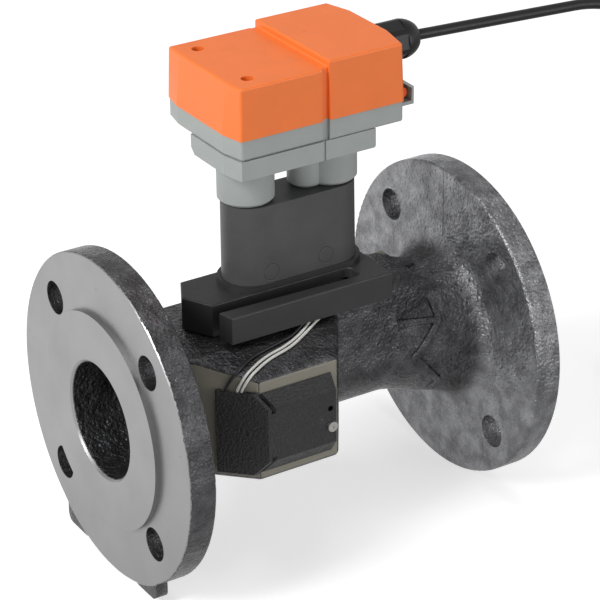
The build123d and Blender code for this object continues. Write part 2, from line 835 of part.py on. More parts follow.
# Pillar: hollow obround with a closed top, and bosses for the screws at both ends
with BuildPart() as neck_pillar:
    with BuildSketch(Plane.XY.offset(base_top_z)):
        add(pillar_plan.sketch)
    extrude(amount=pillar_height, taper=pillar_draft)
    with BuildSketch(Plane.XY.offset(base_top_z)):
        add(pillar_plan.sketch)
        offset(amount=-pillar_wall, mode=Mode.REPLACE)
        with Locations(*pillar_boss_places):
            Circle(pillar_boss_d / 2, mode=Mode.SUBTRACT)
    extrude(amount=pillar_boss_height, mode=Mode.SUBTRACT)
    with BuildSketch(Plane.XY.offset(base_top_z + pillar_boss_height)):
        add(pillar_plan.sketch)
        offset(amount=-pillar_wall, mode=Mode.REPLACE)
    extrude(amount=pillar_height - 2 * pillar_boss_height, mode=Mode.SUBTRACT)
    with BuildSketch(Plane.XY.offset(pillar_top_z - pillar_boss_height)):
        add(pillar_plan.sketch)
        offset(amount=-pillar_wall, mode=Mode.REPLACE)
        with Locations((tube_left_x, 0), (tube_right_x, 0)):
            Circle(pillar_boss_d / 2, mode=Mode.SUBTRACT)
    extrude(amount=pillar_boss_height - pillar_wall, mode=Mode.SUBTRACT)
    with BuildSketch(Plane.XY.offset(base_top_z)):
        with Locations(*pillar_boss_places):
            Circle(pillar_screw_d / 2)
    extrude(amount=pillar_screw_bite, mode=Mode.SUBTRACT)
    with BuildSketch(Plane.XY.offset(pillar_top_z)):
        with Locations((tube_left_x, 0), (tube_right_x, 0)):
            Circle(pillar_screw_d / 2)
    extrude(amount=-pillar_screw_bite, mode=Mode.SUBTRACT)
    with BuildSketch(Plane.XY.offset(pillar_top_z)):
        with Locations((small_tube_x, 0)):
            Circle(wire_window_d / 2)
    extrude(amount=-pillar_wall, mode=Mode.SUBTRACT)
    with BuildSketch(Plane.YZ.offset(tube_left_x + pillar_shoulder_margin)):
        Polygon(
            (pillar_shoulder_y, pillar_top_z),
            (pillar_half_width, pillar_top_z),
            (pillar_half_width, pillar_top_z - pillar_shoulder_drop),
            align=None,
        )
    extrude(amount=tube_right_x - tube_left_x - 2 * pillar_shoulder_margin, mode=Mode.SUBTRACT)
neck_pillar.part.label = "neck_pillar"
export_step(neck_pillar.part, "parts/neck_pillar.step")

with BuildPart() as pillar_screws:
    with BuildSketch(Plane.XY.offset(base_top_z - base_wall)):
        with Locations(*pillar_boss_places):
            Circle(pillar_screw_head_d / 2)
    extrude(amount=-screw_head_height)
    with BuildSketch(Plane.XY.offset(base_top_z - base_wall)):
        with Locations(*pillar_boss_places):
            Circle(pillar_screw_d / 2 - thread_gap)
    extrude(amount=base_wall + pillar_screw_bite - seat_gap)
pillar_screws.part.label = "pillar_screws"
export_step(pillar_screws.part, "parts/pillar_screws.step")

with BuildPart() as pillar_gasket:
    with BuildSketch(Plane.XY.offset(pillar_top_z)):
        with Locations((tube_left_x, 0), (tube_right_x, 0)):
            Circle(tube_d / 2 - tube_edge - seat_gap)
        with Locations((small_tube_x, 0)):
            Circle(small_tube_d / 2 - tube_edge - seat_gap)
        with Locations((small_tube_x, 0)):
            Circle(wire_window_d / 2, mode=Mode.SUBTRACT)
        with Locations((tube_left_x, 0), (tube_right_x, 0)):
            Circle(pillar_screw_d / 2 + seat_gap, mode=Mode.SUBTRACT)
    extrude(amount=pillar_gasket_thickness)
pillar_gasket.part.label = "pillar_gasket"
export_step(pillar_gasket.part, "parts/pillar_gasket.step")

with BuildPart() as neck_screws:
    with BuildSketch(Plane.XY.offset(tube_bottom_z + tube_floor)):
        with Locations((tube_left_x, 0), (tube_right_x, 0)):
            Circle(pillar_screw_head_d / 2)
    extrude(amount=screw_head_height)
    with BuildSketch(Plane.XY.offset(tube_bottom_z + tube_floor)):
        with Locations((tube_left_x, 0), (tube_right_x, 0)):
            Circle(pillar_screw_d / 2 - thread_gap)
    extrude(amount=-tube_floor - pillar_gasket_thickness - pillar_screw_bite + seat_gap)
neck_screws.part.label = "neck_screws"
export_step(neck_screws.part, "parts/neck_screws.step")


def housing_plan(inset, left_bulge=cover_bulge_left, rounding=0):
    """Return the housing's plan with its bulged ends, set in from the outer walls."""
    with BuildSketch() as plan:
        Polygon(
            (housing_left_x, housing_half_width),
            (housing_left_x - left_bulge, bulge_left_half_width),
            (housing_left_x - left_bulge, -bulge_left_half_width),
            (housing_left_x, -housing_half_width),
            (housing_right_x, -housing_half_width),
            (housing_right_x + bulge_right, bulge_right_front_y),
            (housing_right_x + bulge_right, bulge_right_back_y),
            (housing_right_x, housing_half_width),
            align=None,
        )
        if inset:
            offset(amount=-inset, kind=Kind.INTERSECTION, mode=Mode.REPLACE)
        if rounding:
            fillet(plan.vertices(), rounding)
    return plan.sketch


outer_plan = housing_plan(0, bulge_left, housing_corner)
cover_foot_plan = housing_plan(-cover_overhang, bulge_left, housing_corner)
cover_top_plan = housing_plan(cover_draw, cover_bulge_left, housing_corner)
inner_plan = housing_plan(housing_wall)
seal_outer_plan = housing_plan(housing_wall + thread_gap)
seal_inner_plan = housing_plan(housing_wall + thread_gap + seal_width)
lip_outer_plan = housing_plan(housing_wall + 2 * thread_gap + seal_width)
lip_inner_plan = housing_plan(housing_wall + 2 * thread_gap + seal_width + lip_wall)
housing_screw_places = ((housing_screw_x, housing_screw_y), (housing_screw_x, -housing_screw_y))
groove_middle_x = (groove_start_x + groove_end_x) / 2

# Grooves down the sides where the housing steps from its low to its high half
with BuildSketch() as side_grooves:
    groove_mouth_y = housing_half_width + cover_overhang
    for side in (1, -1):
        Polygon(
            (groove_start_x, side * groove_mouth_y),
            (groove_start_x + groove_left_lean, side * (groove_mouth_y - groove_depth)),
            (groove_end_x, side * (groove_mouth_y - groove_depth)),
            (groove_end_x, side * groove_mouth_y),
            align=None,
        )

with BuildPart() as lower_band:
    with BuildSketch(Plane.XY.offset(lower_band_z)):
        add(housing_plan(band_step, bulge_left))
        with Locations((lower_band_right_x, lower_band_back_y)):
            Rectangle(face_to_face, face_to_face, align=(Align.MAX, Align.MAX), mode=Mode.INTERSECT)
    extrude(amount=upper_band_z - lower_band_z)
    bottom_edges = lower_band.edges().group_by(Axis.Z)[0]
    chamfer(bottom_edges.sort_by(Axis.Y)[-1], band_back_chamfer)
    bottom_edges = lower_band.edges().group_by(Axis.Z)[0]
    fillet(bottom_edges.sort_by(Axis.X)[-1], band_corner)

with BuildPart() as foot_tubes:
    with BuildSketch(Plane.XY.offset(tube_bottom_z)):
        with Locations((tube_left_x, 0), (tube_right_x, 0)):
            Circle(tube_d / 2)
        with Locations((small_tube_x, 0)):
            Circle(small_tube_d / 2)
    extrude(amount=upper_band_z + housing_wall / 2 - tube_bottom_z)
    chamfer(foot_tubes.edges().group_by(Axis.Z)[0], tube_edge)

# Housing base: two bands on three feet, hollow from above, with the button's guard
with BuildPart() as housing_base:
    with BuildSketch(Plane.XY.offset(upper_band_z)):
        add(outer_plan)
        add(side_grooves.sketch, mode=Mode.SUBTRACT)
    extrude(amount=split_z - upper_band_z)
    bottom_edges = housing_base.edges().group_by(Axis.Z)[0]
    fillet(
        bottom_edges.filter_by(lambda edge: edge.center().X > housing_right_x + seat_gap), band_corner
    )
    back_edge = housing_base.edges().group_by(Axis.Z)[0].sort_by(Axis.Y)[-2:]
    chamfer(back_edge, band_corner)
    add(lower_band.part)
    add(foot_tubes.part)
    with BuildSketch(Plane.XY.offset(lower_band_z)):
        for side in (1, -1):
            with Locations((groove_start_x + lower_groove_width, side * housing_half_width)):
                Rectangle(lower_groove_width, 2 * (lower_groove_depth + band_step))
    extrude(amount=upper_band_z - lower_band_z, mode=Mode.SUBTRACT)
    with BuildSketch(Plane.XZ.offset(-guard_back_y)):
        Polygon(
            (housing_right_x, upper_band_z),
            (guard_end_x, upper_band_z),
            (guard_end_x, guard_shoulder_z),
            (guard_slope_x, guard_top_z),
            (guard_left_x, guard_top_z),
            (guard_left_x, split_z),
            (housing_right_x, split_z),
            align=None,
        )
    extrude(amount=guard_back_y - guard_front_y)
    with BuildSketch(Plane.XZ.offset(-guard_web_y)):
        Polygon(
            (guard_left_x + guard_wall, upper_band_z + guard_floor),
            (guard_end_x - guard_wall, upper_band_z + guard_floor),
            (guard_end_x - guard_wall, guard_shoulder_z - guard_wall / 2),
            (guard_slope_x - guard_wall / 2, guard_top_z - guard_wall),
            (guard_left_x + guard_wall, guard_top_z - guard_wall),
            align=None,
        )
    extrude(amount=guard_web_y - guard_front_y, mode=Mode.SUBTRACT)
    with BuildSketch(Plane.XY.offset(upper_band_z)):
        with Locations((guard_end_x - guard_wall, guard_web_y + guard_wall)):
            Rectangle(
                guard_end_x - guard_left_x - 2 * guard_wall,
                guard_back_y - guard_web_y - 2 * guard_wall,
                align=(Align.MAX, Align.MIN),
            )
    extrude(amount=split_z - upper_band_z, mode=Mode.SUBTRACT)
    with BuildSketch(Plane.XZ.offset(-guard_web_y - guard_wall)):
        with Locations((button_x, button_z)):
            Circle(button_d / 2 + button_play)
    extrude(amount=guard_wall, mode=Mode.SUBTRACT)
    with BuildSketch(Plane.XY.offset(tray_floor_z)):
        add(inner_plan)
        with Locations(*housing_screw_places):
            Circle(housing_boss_d / 2, mode=Mode.SUBTRACT)
    extrude(amount=split_z - tray_floor_z, mode=Mode.SUBTRACT)
    with BuildSketch(Plane.XY.offset(lower_band_z + housing_wall)):
        add(inner_plan)
        with Locations((lower_band_right_x - housing_wall, lower_band_back_y - housing_wall)):
            Rectangle(face_to_face, face_to_face, align=(Align.MAX, Align.MAX), mode=Mode.INTERSECT)
        with Locations(*housing_screw_places):
            Circle(housing_boss_d / 2, mode=Mode.SUBTRACT)
    extrude(amount=tray_floor_z - lower_band_z - housing_wall, mode=Mode.SUBTRACT)
    with BuildSketch(Plane.XY.offset(tube_bottom_z + tube_floor)):
        with Locations((tube_left_x, 0), (tube_right_x, 0)):
            Circle(tube_d / 2 - tube_wall)
    extrude(amount=tray_floor_z - tube_bottom_z - tube_floor, mode=Mode.SUBTRACT)
    with BuildSketch(Plane.XY.offset(tube_bottom_z)):
        with Locations((small_tube_x, 0)):
            Circle(wire_window_d / 2)
    extrude(amount=tray_floor_z - tube_bottom_z, mode=Mode.SUBTRACT)
    with BuildSketch(Plane.XY.offset(tube_bottom_z)):
        with Locations((tube_left_x, 0), (tube_right_x, 0)):
            Circle(pillar_screw_d / 2 + seat_gap)
    extrude(amount=tube_floor, mode=Mode.SUBTRACT)
    with BuildSketch(Plane.XY.offset(split_z - seal_height)):
        add(lip_outer_plan)
        add(lip_inner_plan, mode=Mode.SUBTRACT)
    extrude(amount=lip_height + seal_height)
    with BuildSketch(Plane.XY.offset(tray_floor_z)):
        add(inner_plan)
        add(lip_inner_plan, mode=Mode.SUBTRACT)
    extrude(amount=split_z - tray_floor_z)
    with BuildSketch(Plane.XY.offset(split_z)):
        with Locations(*housing_screw_places):
            Circle(housing_screw_d / 2)
    extrude(amount=-housing_screw_bite, mode=Mode.SUBTRACT)
    with BuildSketch(Plane.XY.offset(tray_floor_z)):
        with Locations(*board_post_places):
            Circle(board_post_d / 2)
    extrude(amount=board_post_height)
    with BuildSketch(Plane.XY.offset(lower_band_z + housing_wall)):
        with Locations(board_column_place):
            Circle(board_post_d / 2)
    extrude(amount=board_z - lower_band_z - housing_wall)
housing_base.part.label = "housing_base"
export_step(housing_base.part, "parts/housing_base.step")

# Seal between the lip of the base and the cover's wall
with BuildPart() as housing_seal:
    with BuildSketch(Plane.XY.offset(split_z)):
        add(seal_outer_plan)
        add(seal_inner_plan, mode=Mode.SUBTRACT)
    extrude(amount=seal_height)
housing_seal.part.label = "housing_seal"
export_step(housing_seal.part, "parts/housing_seal.step")

# Housing cover: a shell in two levels with a step between them and a flat seat for the gland
with BuildPart() as housing_cover:
    with BuildSketch(Plane.XY.offset(split_z)):
        add(cover_foot_plan)
    with BuildSketch(Plane.XY.offset(high_top_z)):
        add(cover_top_plan)
    loft(ruled=True)
    with BuildSketch(Plane.XY.offset(split_z)):
        add(side_grooves.sketch)
    extrude(amount=high_top_z - split_z, mode=Mode.SUBTRACT)
    with BuildSketch(Plane.XY.offset(high_top_z)):
        with Locations((groove_end_x, 0)):
            Rectangle(face_to_face, face_to_face, align=(Align.MAX, Align.CENTER))
    extrude(amount=low_top_z - high_top_z, mode=Mode.SUBTRACT)
    low_rim = housing_cover.edges().filter_by_position(
        Axis.Z, low_top_z - same_place, low_top_z + same_place
    )
    fillet(low_rim.filter_by(Axis.Y).sort_by(Axis.X)[-1], cover_step_fillet)
    fillet(housing_cover.edges().group_by(Axis.Z)[-1], cover_edge)
    low_rim = housing_cover.edges().filter_by_position(
        Axis.Z, low_top_z - same_place, low_top_z + same_place
    )
    fillet(low_rim.filter_by(lambda edge: edge.center().X < groove_start_x - seat_gap), cover_edge)
    with BuildSketch(Plane.YZ.offset(wall_face_x)):
        with Locations((0, gland_z)):
            Circle(gland_seat_d / 2)
    extrude(amount=wall_back_x - wall_face_x)
    with BuildSketch(Plane.XY.offset(split_z)):
        add(inner_plan)
        with Locations(*housing_screw_places):
            Circle(housing_boss_d / 2, mode=Mode.SUBTRACT)
        for side in (1, -1):
            with Locations((groove_middle_x, side * housing_half_width)):
                Rectangle(
                    groove_end_x - groove_start_x, 2 * (groove_depth + housing_wall), mode=Mode.SUBTRACT
                )
    extrude(amount=low_top_z - housing_wall - split_z, mode=Mode.SUBTRACT)
    with BuildSketch(Plane.XY.offset(low_top_z - housing_wall)):
        add(inner_plan)
        with Locations((groove_end_x + housing_wall, 0)):
            Rectangle(
                face_to_face, face_to_face, align=(Align.MIN, Align.CENTER), mode=Mode.INTERSECT
            )
    extrude(amount=high_top_z - low_top_z, mode=Mode.SUBTRACT)
    with BuildSketch(Plane.XY.offset(low_top_z)):
        with Locations(*housing_screw_places):
            Circle(housing_screw_hole_d / 2)
    extrude(amount=split_z + housing_screw_seat - low_top_z, mode=Mode.SUBTRACT)
    with BuildSketch(Plane.XY.offset(split_z)):
        with Locations(*housing_screw_places):
            Circle(housing_screw_d / 2 + seat_gap)
    extrude(amount=housing_screw_seat, mode=Mode.SUBTRACT)
    with BuildSketch(Plane.YZ.offset(housing_right_x)):
        with Locations((0, gland_z)):
            Circle(gland_thread_d / 2 + seat_gap)
    extrude(amount=2 * bulge_right, mode=Mode.SUBTRACT)
    with BuildSketch(Plane.XY.offset(split_z)):
        add(seal_outer_plan)
        add(lip_inner_plan, mode=Mode.SUBTRACT)
    extrude(amount=lip_height + seat_gap, mode=Mode.SUBTRACT)
housing_cover.part.label = "housing_cover"
export_step(housing_cover.part, "parts/housing_cover.step")

with BuildPart() as housing_screws:
    with BuildSketch(Plane.XY.offset(split_z + housing_screw_seat)):
        with Locations(*housing_screw_places):
            Circle(housing_screw_head_d / 2)
    extrude(amount=screw_head_height)
    with BuildSketch(Plane.XY.offset(split_z + housing_screw_seat)):
        with Locations(*housing_screw_places):
            Circle(housing_screw_d / 2 - thread_gap)
    extrude(amount=seat_gap - housing_screw_seat - housing_screw_bite)
housing_screws.part.label = "housing_screws"
export_step(housing_screws.part, "parts/housing_screws.step")

# Push button: cap through the web of the guard, flange behind it, stem to the switch
with BuildPart() as push_button:
    with BuildSketch(Plane.XZ.offset(-guard_web_y + button_reach)):
        with Locations((button_x, button_z)):
            Circle(button_d / 2)
    extrude(amount=-button_reach - guard_wall - seat_gap)
    fillet(push_button.edges().group_by(Axis.Y)[0], button_edge)
    flange_plane = Plane.XZ.offset(-guard_web_y - guard_wall - seat_gap)
    with BuildSketch(flange_plane):
        with Locations((button_x, button_z)):
            Circle(button_flange_d / 2)
    extrude(amount=-button_flange)
    with BuildSketch(flange_plane.offset(-button_flange)):
        with Locations((button_x, button_z)):
            Circle(button_stem_d / 2)
    extrude(amount=-button_stem_length)
push_button.part.label = "push_button"
export_step(push_button.part, "parts/push_button.step")

with BuildPart() as button_switch:
    switch_face_y = (
        guard_web_y + guard_wall + seat_gap + button_flange + button_stem_length
        + button_travel + button_stop_gap
    )
    with BuildSketch(Plane.XZ.offset(-guard_back_y + guard_wall)):
        with Locations((button_x, upper_band_z + seat_gap)):
            Rectangle(
                switch_width, split_z - upper_band_z - 2 * seat_gap, align=(Align.CENTER, Align.MIN)
            )
    extrude(amount=guard_back_y - guard_wall - switch_face_y)
button_switch.part.label = "button_switch"
export_step(button_switch.part, "parts/button_switch.step")

# Cable gland: threaded body through the cover's wall, seal, nut and locknut
gland_thread_start_x = wall_back_x - gland_locknut_thickness - gland_thread_tail
gland_nut_start_x = wall_face_x + gland_hex_thickness + gland_nut_gap
gland_dome_start_x = gland_nut_start_x + gland_nut_length
gland_end_x = gland_dome_start_x + gland_dome_length
gland_seal_start_x = gland_dome_start_x - gland_seal_length

with BuildPart() as gland_body:
    with BuildSketch(Plane.YZ.offset(wall_face_x)):
        with Locations((0, gland_z)):
            RegularPolygon(gland_hex_d / 2, 6)
    extrude(amount=gland_hex_thickness)
    with BuildSketch(Plane.YZ.offset(gland_thread_start_x)):
        with Locations((0, gland_z)):
            Circle(gland_thread_d / 2)
    extrude(amount=gland_dome_start_x - seat_gap - gland_thread_start_x)
    with BuildSketch(Plane.YZ.offset(gland_seal_start_x)):
        with Locations((0, gland_z)):
            Circle(gland_bore_d / 2)
    extrude(amount=gland_seal_length, mode=Mode.SUBTRACT)
    with BuildSketch(Plane.YZ.offset(gland_thread_start_x)):
        with Locations((0, gland_z)):
            Circle(cable_d / 2 + cable_gap)
    extrude(amount=gland_dome_start_x - gland_thread_start_x, mode=Mode.SUBTRACT)
gland_body.part.label = "gland_body"
export_step(gland_body.part, "parts/gland_body.step")

with BuildPart() as gland_locknut:
    with BuildSketch(Plane.YZ.offset(wall_back_x)):
        with Locations((0, gland_z)):
            RegularPolygon(gland_hex_d / 2, 6)
            Circle(gland_thread_d / 2 + thread_gap, mode=Mode.SUBTRACT)
    extrude(amount=-gland_locknut_thickness)
gland_locknut.part.label = "gland_locknut"
export_step(gland_locknut.part, "parts/gland_locknut.step")

with BuildPart() as gland_seal:
    with BuildSketch(Plane.YZ.offset(gland_seal_start_x)):
        with Locations((0, gland_z)):
            Circle(gland_bore_d / 2 - thread_gap)
            Circle(cable_d / 2 + thread_gap, mode=Mode.SUBTRACT)
    extrude(amount=gland_seal_length - seat_gap)
gland_seal.part.label = "gland_seal"
export_step(gland_seal.part, "parts/gland_seal.step")

# The nut has six wrench flats, and beyond them it narrows to a dome
with BuildPart() as gland_nut:
    with BuildSketch(Plane.XZ):
        with BuildLine():
            Polyline(
                (gland_nut_start_x, gland_z),
                (gland_nut_start_x, gland_z + gland_nut_d / 2),
                (gland_dome_start_x, gland_z + gland_nut_d / 2),
            )
            RadiusArc(
                (gland_dome_start_x, gland_z + gland_nut_d / 2),
                (gland_end_x, gland_z + gland_dome_d / 2),
                gland_dome_bend,
            )
            Polyline(
                (gland_end_x, gland_z + gland_dome_d / 2),
                (gland_end_x, gland_z),
                (gland_nut_start_x, gland_z),
            )
        make_face()
    revolve(axis=Axis((0, 0, gland_z), (1, 0, 0)))
    with BuildSketch(Plane.YZ.offset(gland_nut_start_x)):
        with Locations((0, gland_z)):
            Circle(gland_nut_d)
            RegularPolygon(
                gland_across_flats / 2,
                gland_flat_count,
                major_radius=False,
                rotation=gland_turn,
                mode=Mode.SUBTRACT,
            )
    extrude(amount=gland_flat_length, mode=Mode.SUBTRACT)
    with BuildSketch(Plane.YZ.offset(gland_nut_start_x)):
        with Locations((0, gland_z)):
            Circle(gland_thread_d / 2 + thread_gap)
    extrude(amount=gland_nut_length, mode=Mode.SUBTRACT)
    with BuildSketch(Plane.YZ.offset(gland_nut_start_x)):
        with Locations((0, gland_z)):
            Circle(cable_d / 2 + cable_gap)
    extrude(amount=gland_nut_length + gland_dome_length, mode=Mode.SUBTRACT)
gland_nut.part.label = "gland_nut"
export_step(gland_nut.part, "parts/gland_nut.step")

# Electronics on the posts of the base
with BuildPart() as circuit_board:
    with BuildSketch(Plane.XY.offset(board_z)):
        with Locations((board_start_x, 0)):
            Rectangle(
                board_end_x - board_start_x, 2 * board_half_width, align=(Align.MIN, Align.CENTER)
            )
    extrude(amount=board_thickness)
circuit_board.part.label = "circuit_board"
export_step(circuit_board.part, "parts/circuit_board.step")

with BuildPart() as board_chips:
    for chip_x, chip_y, chip_length, chip_width, chip_height in board_chip_sizes:
        with BuildSketch(Plane.XY.offset(board_top_z)):
            with Locations((chip_x, chip_y)):
                Rectangle(chip_length, chip_width)
        extrude(amount=chip_height)
board_chips.part.label = "board_chips"
export_step(board_chips.part, "parts/board_chips.step")

with BuildPart() as board_capacitors:
    with BuildSketch(Plane.XY.offset(board_top_z)):
        with Locations(*board_capacitor_places):
            Circle(board_capacitor_d / 2)
    extrude(amount=board_capacitor_height)
    fillet(board_capacitors.edges().group_by(Axis.Z)[-1], board_capacitor_edge)
board_capacitors.part.label = "board_capacitors"
export_step(board_capacitors.part, "parts/board_capacitors.step")

with BuildPart() as wire_connector:
    with BuildSketch(Plane.XY.offset(board_z)):
        with Locations((small_tube_x, 0)):
            Rectangle(connector_length, wire_window_d)
    extrude(amount=-connector_height)
wire_connector.part.label = "wire_connector"
export_step(wire_connector.part, "parts/wire_connector.step")

with BuildPart() as cable_terminal:
    with BuildSketch(Plane.XY.offset(board_top_z)):
        with Locations((terminal_x, 0)):
            Rectangle(terminal_length, 2 * cable_d)
    extrude(amount=gland_z + cable_d - board_top_z)
cable_terminal.part.label = "cable_terminal"
export_step(cable_terminal.part, "parts/cable_terminal.step")


def run_lengths(points):
    """Return the length of each run of a route."""
    return [math.dist(a, b) for a, b in zip(points, points[1:])]


def bend_radii(points):
    """Return for each corner of a route the radius that takes 0.45 of its shorter run."""
    radii = []
    runs = run_lengths(points)
    for i in range(1, len(points) - 1):
        before = Vector(*points[i]) - Vector(*points[i - 1])
        after = Vector(*points[i + 1]) - Vector(*points[i])
        half_turn = math.radians(before.get_angle(after)) / 2
        radii.append(0.45 * min(runs[i - 1], runs[i]) / math.tan(half_turn))
    return radii


def route_path(points):
    """Return straight runs joined by tangent arcs."""
    with BuildLine() as path:
        FilletPolyline(*points, radius=bend_radii(points))
    return path


def report_route(name, points, piece, diameter, path):
    """Print a route's radii, and its volume beside section times length."""
    radii = bend_radii(points)
    expected = math.pi * diameter**2 / 4 * path.wire().length
    print(name, "runs", [round(run, 1) for run in run_lengths(points)])
    print(name, "radii", [round(radius, 1) for radius in radii])
    print(name, "volume", round(piece.part.volume, 1), "expected", round(expected, 1))


cable_start_x = terminal_x + terminal_length / 2
coil_entry_y = coil_y - coil_mean_r
cable_floor_z = floor_z + cable_d / 2
cable_points = (
    (cable_start_x, 0, gland_z),
    (203, 0, gland_z),
    (330, 0, 169.8),
    (366, -6, 152),
    (378, -18, 112),
    (374, -30, 66),
    (362, -40, 18),
    (351, -46, -26),
    (348, coil_entry_y, -60.2),
    (358.7, coil_entry_y, -78.8),
    (377.2, coil_entry_y, cable_floor_z),
    (397, coil_entry_y, cable_floor_z),
)
cable_path = route_path(cable_points)
with BuildPart() as cable:
    with BuildSketch(Plane(origin=cable_points[0], z_dir=(1, 0, 0))):
        Circle(cable_d / 2)
    sweep(path=cable_path.line)
cable.part.label = "cable"
export_step(cable.part, "parts/cable.step")
report_route("cable", cable_points, cable, cable_d, cable_path)

# The coil that the rest of the cable makes on the floor, and the tail that leaves it along
# its tangent, with the bare cores at the tail's end
core_angle = math.radians(coil_end_angle)
coil_tail = math.sqrt((coil_mean_r + coil_width / 2) ** 2 - coil_mean_r**2) + cable_d
tail_plane = Plane(
    origin=(
        coil_x + coil_mean_r * math.cos(core_angle) - coil_tail * math.sin(core_angle),
        coil_y + coil_mean_r * math.sin(core_angle) + coil_tail * math.cos(core_angle),
        cable_floor_z,
    ),
    z_dir=(-math.sin(core_angle), math.cos(core_angle), 0),
)
with BuildPart() as cable_coil:
    with BuildSketch(Plane.XZ.offset(-coil_y)):
        with Locations((coil_x + coil_mean_r, floor_z + coil_height / 2)):
            RectangleRounded(coil_width, coil_height, cable_d / 2)
    revolve(axis=Axis((coil_x, coil_y, 0), (0, 0, 1)))
    with BuildSketch(tail_plane):
        Circle(cable_d / 2)
    extrude(amount=-coil_tail)
cable_coil.part.label = "cable_coil"
export_step(cable_coil.part, "parts/cable_coil.step")

with BuildPart() as cable_cores:
    with BuildSketch(tail_plane):
        with PolarLocations(core_circle_r, core_count):
            Circle(core_d / 2)
    extrude(amount=core_length)
cable_cores.part.label = "cable_cores"
export_step(cable_cores.part, "parts/cable_cores.step")

# Signal wires from the board down the pillar, along the arm and over the lobe
board_wire_z = board_z - connector_height
wire_end_z = cover_entry_bottom_z + wire_end_gap
wire_routes = {
    "signal_wire_black": (
        (131, 2.5, board_wire_z), (131.8, 2.7, 115), (130.6, 2.4, 82), (131, 2.5, 50),
        (152.5, 0.5, 48.5), (152.5, -33.2, 48.4), (122, -33.2, 47.4), (107, -33.3, 42),
        (100, -36.4, 39.2), (88, -39, 38.3), (70, -42.5, 37.2), (56.3, -50.6, 35.9),
        (50.5, -45.4, 24), (50.1, -45.0, 13), (50.5, -45.4, wire_end_z),
    ),
    "signal_wire_white_upper": (
        (131, -2.5, board_wire_z), (131.8, -2.3, 115), (130.6, -2.6, 82), (131, -2.5, 50),
        (148, -3.5, 48.5), (148, -31.2, 48.4), (128, -31.2, 47.4), (114, -31.3, 42.3),
        (105, -36.6, 39.2), (92, -42, 37.4), (76, -45.2, 36.3), (59.4, -53.7, 34.6),
        (55.3, -50.2, 23.5), (54.9, -49.8, 13), (55.3, -50.2, wire_end_z),
    ),
    "signal_wire_white_lower": (
        (131, 0, board_wire_z), (131.8, 0.2, 115), (130.6, -0.1, 82), (131, 0, 48),
        (150.2, -1.5, 46.3), (150.2, -32.2, 46.2), (131, -32.2, 45.6), (118, -32.3, 42),
        (107, -37.6, 38.9), (93.5, -43.9, 36.9), (77, -47.4, 35.7), (61, -55.5, 33.9),
        (56.9, -51.8, 23.5), (56.5, -51.4, 13), (56.9, -51.8, wire_end_z),
    ),
    "signal_wire_back": (
        (131, 5.2, board_wire_z), (131.8, 5.4, 116), (131, 5.2, 86), (131.8, 5.2, 66),
        (133, 6, 54), (138, 9.5, 47), (141, 17, 43.6), (144.5, 30, 40.9), (152, 42, 37.5),
        (164.7, 50.6, 35.9), (170.5, 45.4, 24), (170.9, 45.0, 13), (170.5, 45.4, wire_end_z),
    ),
}
for wire_name, wire_points in wire_routes.items():
    wire_path = route_path(wire_points)
    first_run = Vector(*wire_points[1]) - Vector(*wire_points[0])
    with BuildPart() as signal_wire:
        with BuildSketch(Plane(origin=wire_points[0], z_dir=first_run)):
            Circle(wire_d / 2)
        sweep(path=wire_path.line)
    signal_wire.part.label = wire_name
    export_step(signal_wire.part, f"parts/{wire_name}.step")
    report_route(wire_name, wire_points, signal_wire, wire_d, wire_path)
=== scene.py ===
"""Flow sensor: materials, the finished cable and small details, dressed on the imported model."""

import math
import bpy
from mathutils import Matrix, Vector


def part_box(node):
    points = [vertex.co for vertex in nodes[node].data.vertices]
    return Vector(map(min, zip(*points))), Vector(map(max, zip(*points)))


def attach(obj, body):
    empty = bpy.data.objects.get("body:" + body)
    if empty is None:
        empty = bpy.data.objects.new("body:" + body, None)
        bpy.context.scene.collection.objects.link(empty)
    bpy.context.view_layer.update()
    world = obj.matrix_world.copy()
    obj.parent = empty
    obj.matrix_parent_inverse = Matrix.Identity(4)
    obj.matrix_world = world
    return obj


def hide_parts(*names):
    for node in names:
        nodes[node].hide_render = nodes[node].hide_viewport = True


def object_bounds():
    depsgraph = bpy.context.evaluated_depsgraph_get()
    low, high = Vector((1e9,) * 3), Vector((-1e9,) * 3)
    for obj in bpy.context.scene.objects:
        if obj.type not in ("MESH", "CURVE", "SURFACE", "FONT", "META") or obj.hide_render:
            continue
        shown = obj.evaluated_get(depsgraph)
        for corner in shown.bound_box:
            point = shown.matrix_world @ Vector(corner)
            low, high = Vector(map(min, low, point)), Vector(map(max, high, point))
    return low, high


bl_info = {
    "name": "Flow sensor",
    "version": (1, 0, 0),
    "blender": (4, 5, 0),
    "location": "3D View > Sidebar > Flow sensor",
    "description": "Dresses a flanged ultrasonic flow sensor with its materials, cable and cast details",
    "category": "Object",
}

import bmesh
import bpy
from bpy.props import FloatProperty, FloatVectorProperty, PointerProperty
from mathutils import Matrix, Vector

MM = 0.001
BODY = "sensor"

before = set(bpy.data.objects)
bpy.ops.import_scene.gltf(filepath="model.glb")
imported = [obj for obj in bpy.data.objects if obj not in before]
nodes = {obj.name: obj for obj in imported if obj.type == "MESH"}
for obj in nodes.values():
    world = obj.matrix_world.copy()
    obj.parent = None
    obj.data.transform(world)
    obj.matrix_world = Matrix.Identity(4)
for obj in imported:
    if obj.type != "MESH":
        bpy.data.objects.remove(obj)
cad_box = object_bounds()


def linear(hex_colour):
    """An sRGB hex colour as linear red, green, blue and alpha."""
    channels = []
    for start in (0, 2, 4):
        value = int(hex_colour[start:start + 2], 16) / 255
        if value <= 0.04045:
            channels.append(value / 12.92)
        else:
            channels.append(((value + 0.055) / 1.055) ** 2.4)
    return channels + [1.0]


# Sizes and colours

